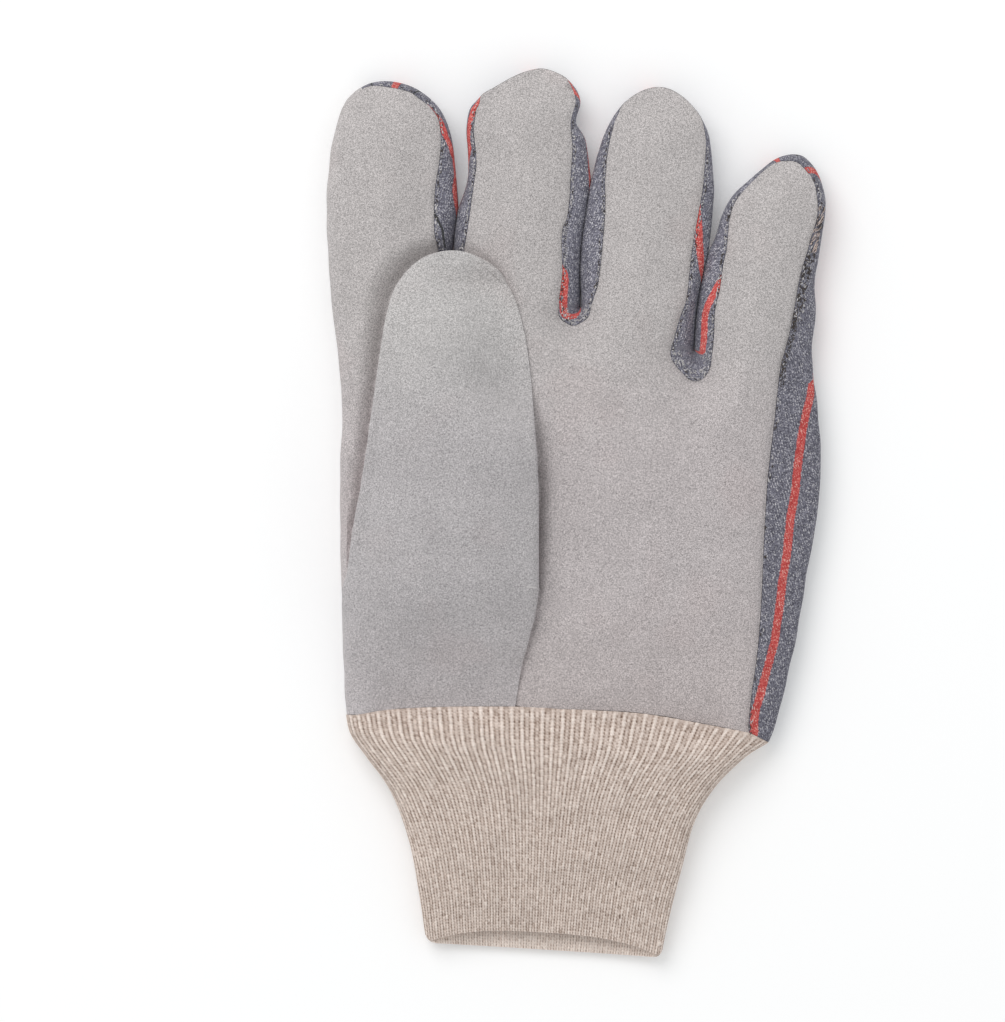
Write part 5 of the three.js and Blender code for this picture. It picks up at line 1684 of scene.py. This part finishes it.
def suede(name, tones):
    """Split suede: a fine even nap, soft blotches, a few pale scuffs, and tones that are lighter and warmer
    near the cuff, partly painted light.
    """
    n = Nodes(name)
    tone, low_tone, high_tone = (srgb(*colour) for colour in tones)
    place = n.node("ShaderNodeTexCoord").outputs["Object"]
    height = n.node("ShaderNodeSeparateXYZ")
    n.put(height.inputs[0], place)
    fine = n.noise(place, 4600.0, detail=1.0, roughness=0.5)
    grain = n.noise(place, 2100.0, detail=2.0, roughness=0.55)
    blotches = n.noise(place, 95.0, detail=3.0, roughness=0.5)
    # Tones along the hand: lighter near the cuff, and on the thumb towards its tip, partly painted light
    # where the leather slopes away from the lamp
    colour = n.mix(low_tone, tone, n.range(height.outputs[1], -0.062, -0.010))
    colour = n.mix(colour, high_tone, n.range(height.outputs[1], 0.015, 0.060))
    nap = n.math("ADD", n.math("MULTIPLY", fine, 0.65), n.math("MULTIPLY", grain, 0.35))
    colour = n.shade(colour, n.range(nap, 0.34, 0.66, 0.55, 1.45))
    colour = n.shade(colour, n.range(blotches, 0.35, 0.65, 0.975, 1.025))
    stain = n.range(n.noise(place, 38.0, detail=2.0), 0.56, 0.72)
    colour = n.mix(colour, (1.0, 0.965, 0.96, 1.0), n.math("MULTIPLY", stain, 0.5), "MULTIPLY")
    lines = n.math("ABSOLUTE", n.math("SUBTRACT", n.noise(place, 70.0, detail=4.0, roughness=0.6), 0.5))
    thin_lines = n.range(lines, 0.004, 0.0)
    places = n.range(n.noise(place, 31.0, detail=1.0), 0.60, 0.72)
    scuff = n.math("MULTIPLY", thin_lines, places)
    scratch = n.math("MULTIPLY", n.spot(place, *THUMB_SCRATCH), 0.7)
    scuff = n.math("MAXIMUM", n.math("MULTIPLY", scuff, 0.35), scratch)
    colour = n.mix(colour, srgb(*SCUFF), scuff)
    normal = n.bump(nap, strength=0.5, distance=0.00016)
    return n.finish(
        colour, normal, Roughness=0.92, Sheen_Weight=0.12, Sheen_Roughness=0.5, Specular_IOR_Level=0.15
    )


def striped_cloth(name, light):
    """Cotton twill in millimetres: grey-blue yarns along a steep twill, red stripes and dark lines."""
    n = Nodes(name)
    pitch, red_width, dark_width = (1000 * size for size in (STRIPE_PITCH, RED_WIDTH, DARK_WIDTH))
    uv = n.node("ShaderNodeUVMap", uv_map="cloth").outputs[0]
    mm = n.vector("MULTIPLY", uv, (1000.0, 1000.0, 0.0))
    split = n.node("ShaderNodeSeparateXYZ")
    n.put(split.inputs[0], mm)
    across, along = split.outputs[0], split.outputs[1]

    rough = n.math("SUBTRACT", n.noise(mm, 1.9, detail=2.0, roughness=0.7), 0.5)
    stripe = n.math("DIVIDE", n.math("ADD", across, n.math("MULTIPLY", rough, 1.1)), pitch)
    off = n.math("ABSOLUTE", n.math("SUBTRACT", stripe, n.math("ROUND", stripe)))
    from_red = n.math("MULTIPLY", off, pitch)
    from_dark = n.math("SUBTRACT", pitch / 2, from_red)
    red = n.range(from_red, red_width / 2 + 0.15, red_width / 2 - 0.15)
    dark = n.range(from_dark, dark_width / 2 + 0.2, dark_width / 2 - 0.1)
    dark = n.math("MULTIPLY", dark, n.math("LESS_THAN", along, PLAIN_CLOTH * 500))

    # The hand's outer side has no dark line
    place = n.node("ShaderNodeSeparateXYZ")
    n.put(place.inputs[0], n.node("ShaderNodeTexCoord").outputs["Object"])
    outer, high = n.range(place.outputs[0], 0.050, 0.051), n.range(place.outputs[2], 0.0070, 0.0080)
    dark = n.math("MULTIPLY", dark, n.math("SUBTRACT", 1.0, n.math("MULTIPLY", outer, high)))

    slant = n.node("ShaderNodeCombineXYZ")
    n.put(slant.inputs[0], n.math("ADD", across, n.math("MULTIPLY", along, 0.25)))
    n.put(slant.inputs[1], along)
    cells = n.node("ShaderNodeTexVoronoi", voronoi_dimensions="2D")
    n.put(cells.inputs["Vector"], n.vector("MULTIPLY", slant.outputs[0], (3.3, 3.3, 1.0)))
    n.put(cells.inputs["Scale"], 1.0)
    pick = n.node("ShaderNodeSeparateColor")
    n.put(pick.inputs[0], cells.outputs["Color"])
    twill = n.math("ADD", across, n.math("MULTIPLY", along, 0.45))
    twill = n.math("SINE", n.math("MULTIPLY", twill, 2 * math.pi / TWILL_WIDTH))
    chance = n.math("ADD", pick.outputs[0], n.math("MULTIPLY", twill, 0.10))

    colour = n.mix(n.ramp(chance, BLUE_YARNS), n.ramp(chance, RED_YARNS), red)
    colour = n.mix(colour, srgb(*DARK_LINE), n.math("MULTIPLY", dark, 0.85))
    patches = n.noise(mm, 0.35, detail=2.0, roughness=0.6)
    # A light above 1 is painted light, which makes the whole cloth paler
    colour = n.shade(colour, n.range(patches, 0.3, 0.7, 0.92 * light, 1.08 * light))
    relief_height = n.math("ADD", n.math("MULTIPLY", twill, 0.4), pick.outputs[0])
    normal = n.bump(relief_height, strength=0.5, distance=0.00012)
    return n.finish(colour, normal, Roughness=0.9, Sheen_Weight=0.08, Specular_IOR_Level=0.15)


def rib_knit():
    """Unbleached cotton knit: pale on the yarn, with painted shade in the gaps, and a few dark slubs."""
    n = Nodes("rib_knit")
    place = n.node("ShaderNodeTexCoord").outputs["Object"]
    yarn = n.node("ShaderNodeAttribute", attribute_name="yarn").outputs["Fac"]
    fuzz = n.noise(place, 1900.0, detail=3.0, roughness=0.7)
    patch = n.noise(place, 120.0, detail=3.0, roughness=0.6)
    colour = n.shade(n.ramp(yarn, KNIT_YARN_AND_SHADE), n.range(fuzz, 0.3, 0.7, 0.86, 1.14))
    colour = n.shade(colour, n.range(patch, 0.3, 0.7, 0.96, 1.04))
    for spot, half in SLUBS:
        colour = n.mix(colour, srgb(*SLUB), n.math("MULTIPLY", n.spot(place, spot, half), 0.8))
    normal = n.bump(fuzz, strength=0.4, distance=0.00012)
    return n.finish(colour, normal, Roughness=0.95, Sheen_Weight=0.1, Specular_IOR_Level=0.1)


def thread_material():
    """Cotton thread in the colour of each bit."""
    n = Nodes("seam_thread")
    place = n.node("ShaderNodeTexCoord").outputs["Object"]
    colour = n.node("ShaderNodeAttribute", attribute_name="thread").outputs["Color"]
    fuzz = n.noise(place, 2600.0, detail=2.0, roughness=0.6)
    colour = n.mix(colour, (0.5, 0.5, 0.5, 1.0), n.range(fuzz, 0.45, 0.75, 0.0, 0.3), "MULTIPLY")
    normal = n.bump(fuzz, strength=0.4, distance=0.0001)
    return n.finish(colour, normal, Roughness=0.9, Specular_IOR_Level=0.2)


def floor_material():
    """A matt white that also glows a little, so that it comes out as white as the photo's ground."""
    white = (1.0, 1.0, 1.0, 1.0)
    glow = {"Emission_Color": white, "Emission_Strength": FLOOR_GLOW}
    return Nodes("floor").finish(FLOOR_COLOUR, None, Roughness=1.0, Specular_IOR_Level=0.0, **glow)


# Putting it together

def main():
    make_camera()
    make_light()
    make_floor(floor_material())
    palm_look = suede("palm_suede", PALM_TONES), "palm_suede"
    thumb_look = suede("thumb_suede", THUMB_TONES), "thumb_suede"
    cloth_look = striped_cloth("striped_cloth", 1.0), "striped_cloth"
    # The cloth between the fingers is a paler copy of the same cloth: painted light on the walls of the gaps
    painted_light_between_look = striped_cloth("striped_cloth_painted_light", SIDE_PAINTED_LIGHT), "striped_cloth"
    knit_look = rib_knit(), "rib_knit"

    front_end, back_end = build_skin()
    skin.join()
    normals = skin.normals()
    normals[skin.points[:, 2] == 0.0] = (0.0, 0.0, -1.0)
    points = skin.points + normals * relief(skin.points, normals, skin.kinds)[:, None]
    points[:, 2] = np.maximum(points[:, 2], 0.0)

    # Piece, its part of the skin, the solid that it replaces, material and slot, wall, further settings
    below_top = {"ceiling": thumb_top}
    for name, part, node, look, wall, settings in [
        ("palm_and_fingers", "palm", "palm_leather", palm_look, LEATHER_WALL, {}),
        ("thumb_top", "thumb", "thumb_outer_leather", thumb_look, LEATHER_WALL, below_top),
        ("thumb_underside", "underside", "thumb_inner_leather", palm_look, LEATHER_WALL, below_top),
        ("striped_back", "back", "back_cloth", cloth_look, CLOTH_WALL, {"striped": True}),
        ("finger_sides", "sides", "back_cloth", painted_light_between_look, CLOTH_WALL, {"striped": True}),
    ]:
        add_piece(thick_piece(name, part, wall, points, normals, **settings), *look, node)
    front, below = cuff_rings(front_end, back_end, RIBS // 2 * KNIT_COLUMNS)
    add_piece(knit_half("knit_front", front, 1.0), *knit_look, "knit_cuff")
    add_piece(knit_half("knit_back", below, -1.0), *knit_look, "knit_cuff")
    add_piece(seam_threads(), thread_material(), "striped_cloth")


main()
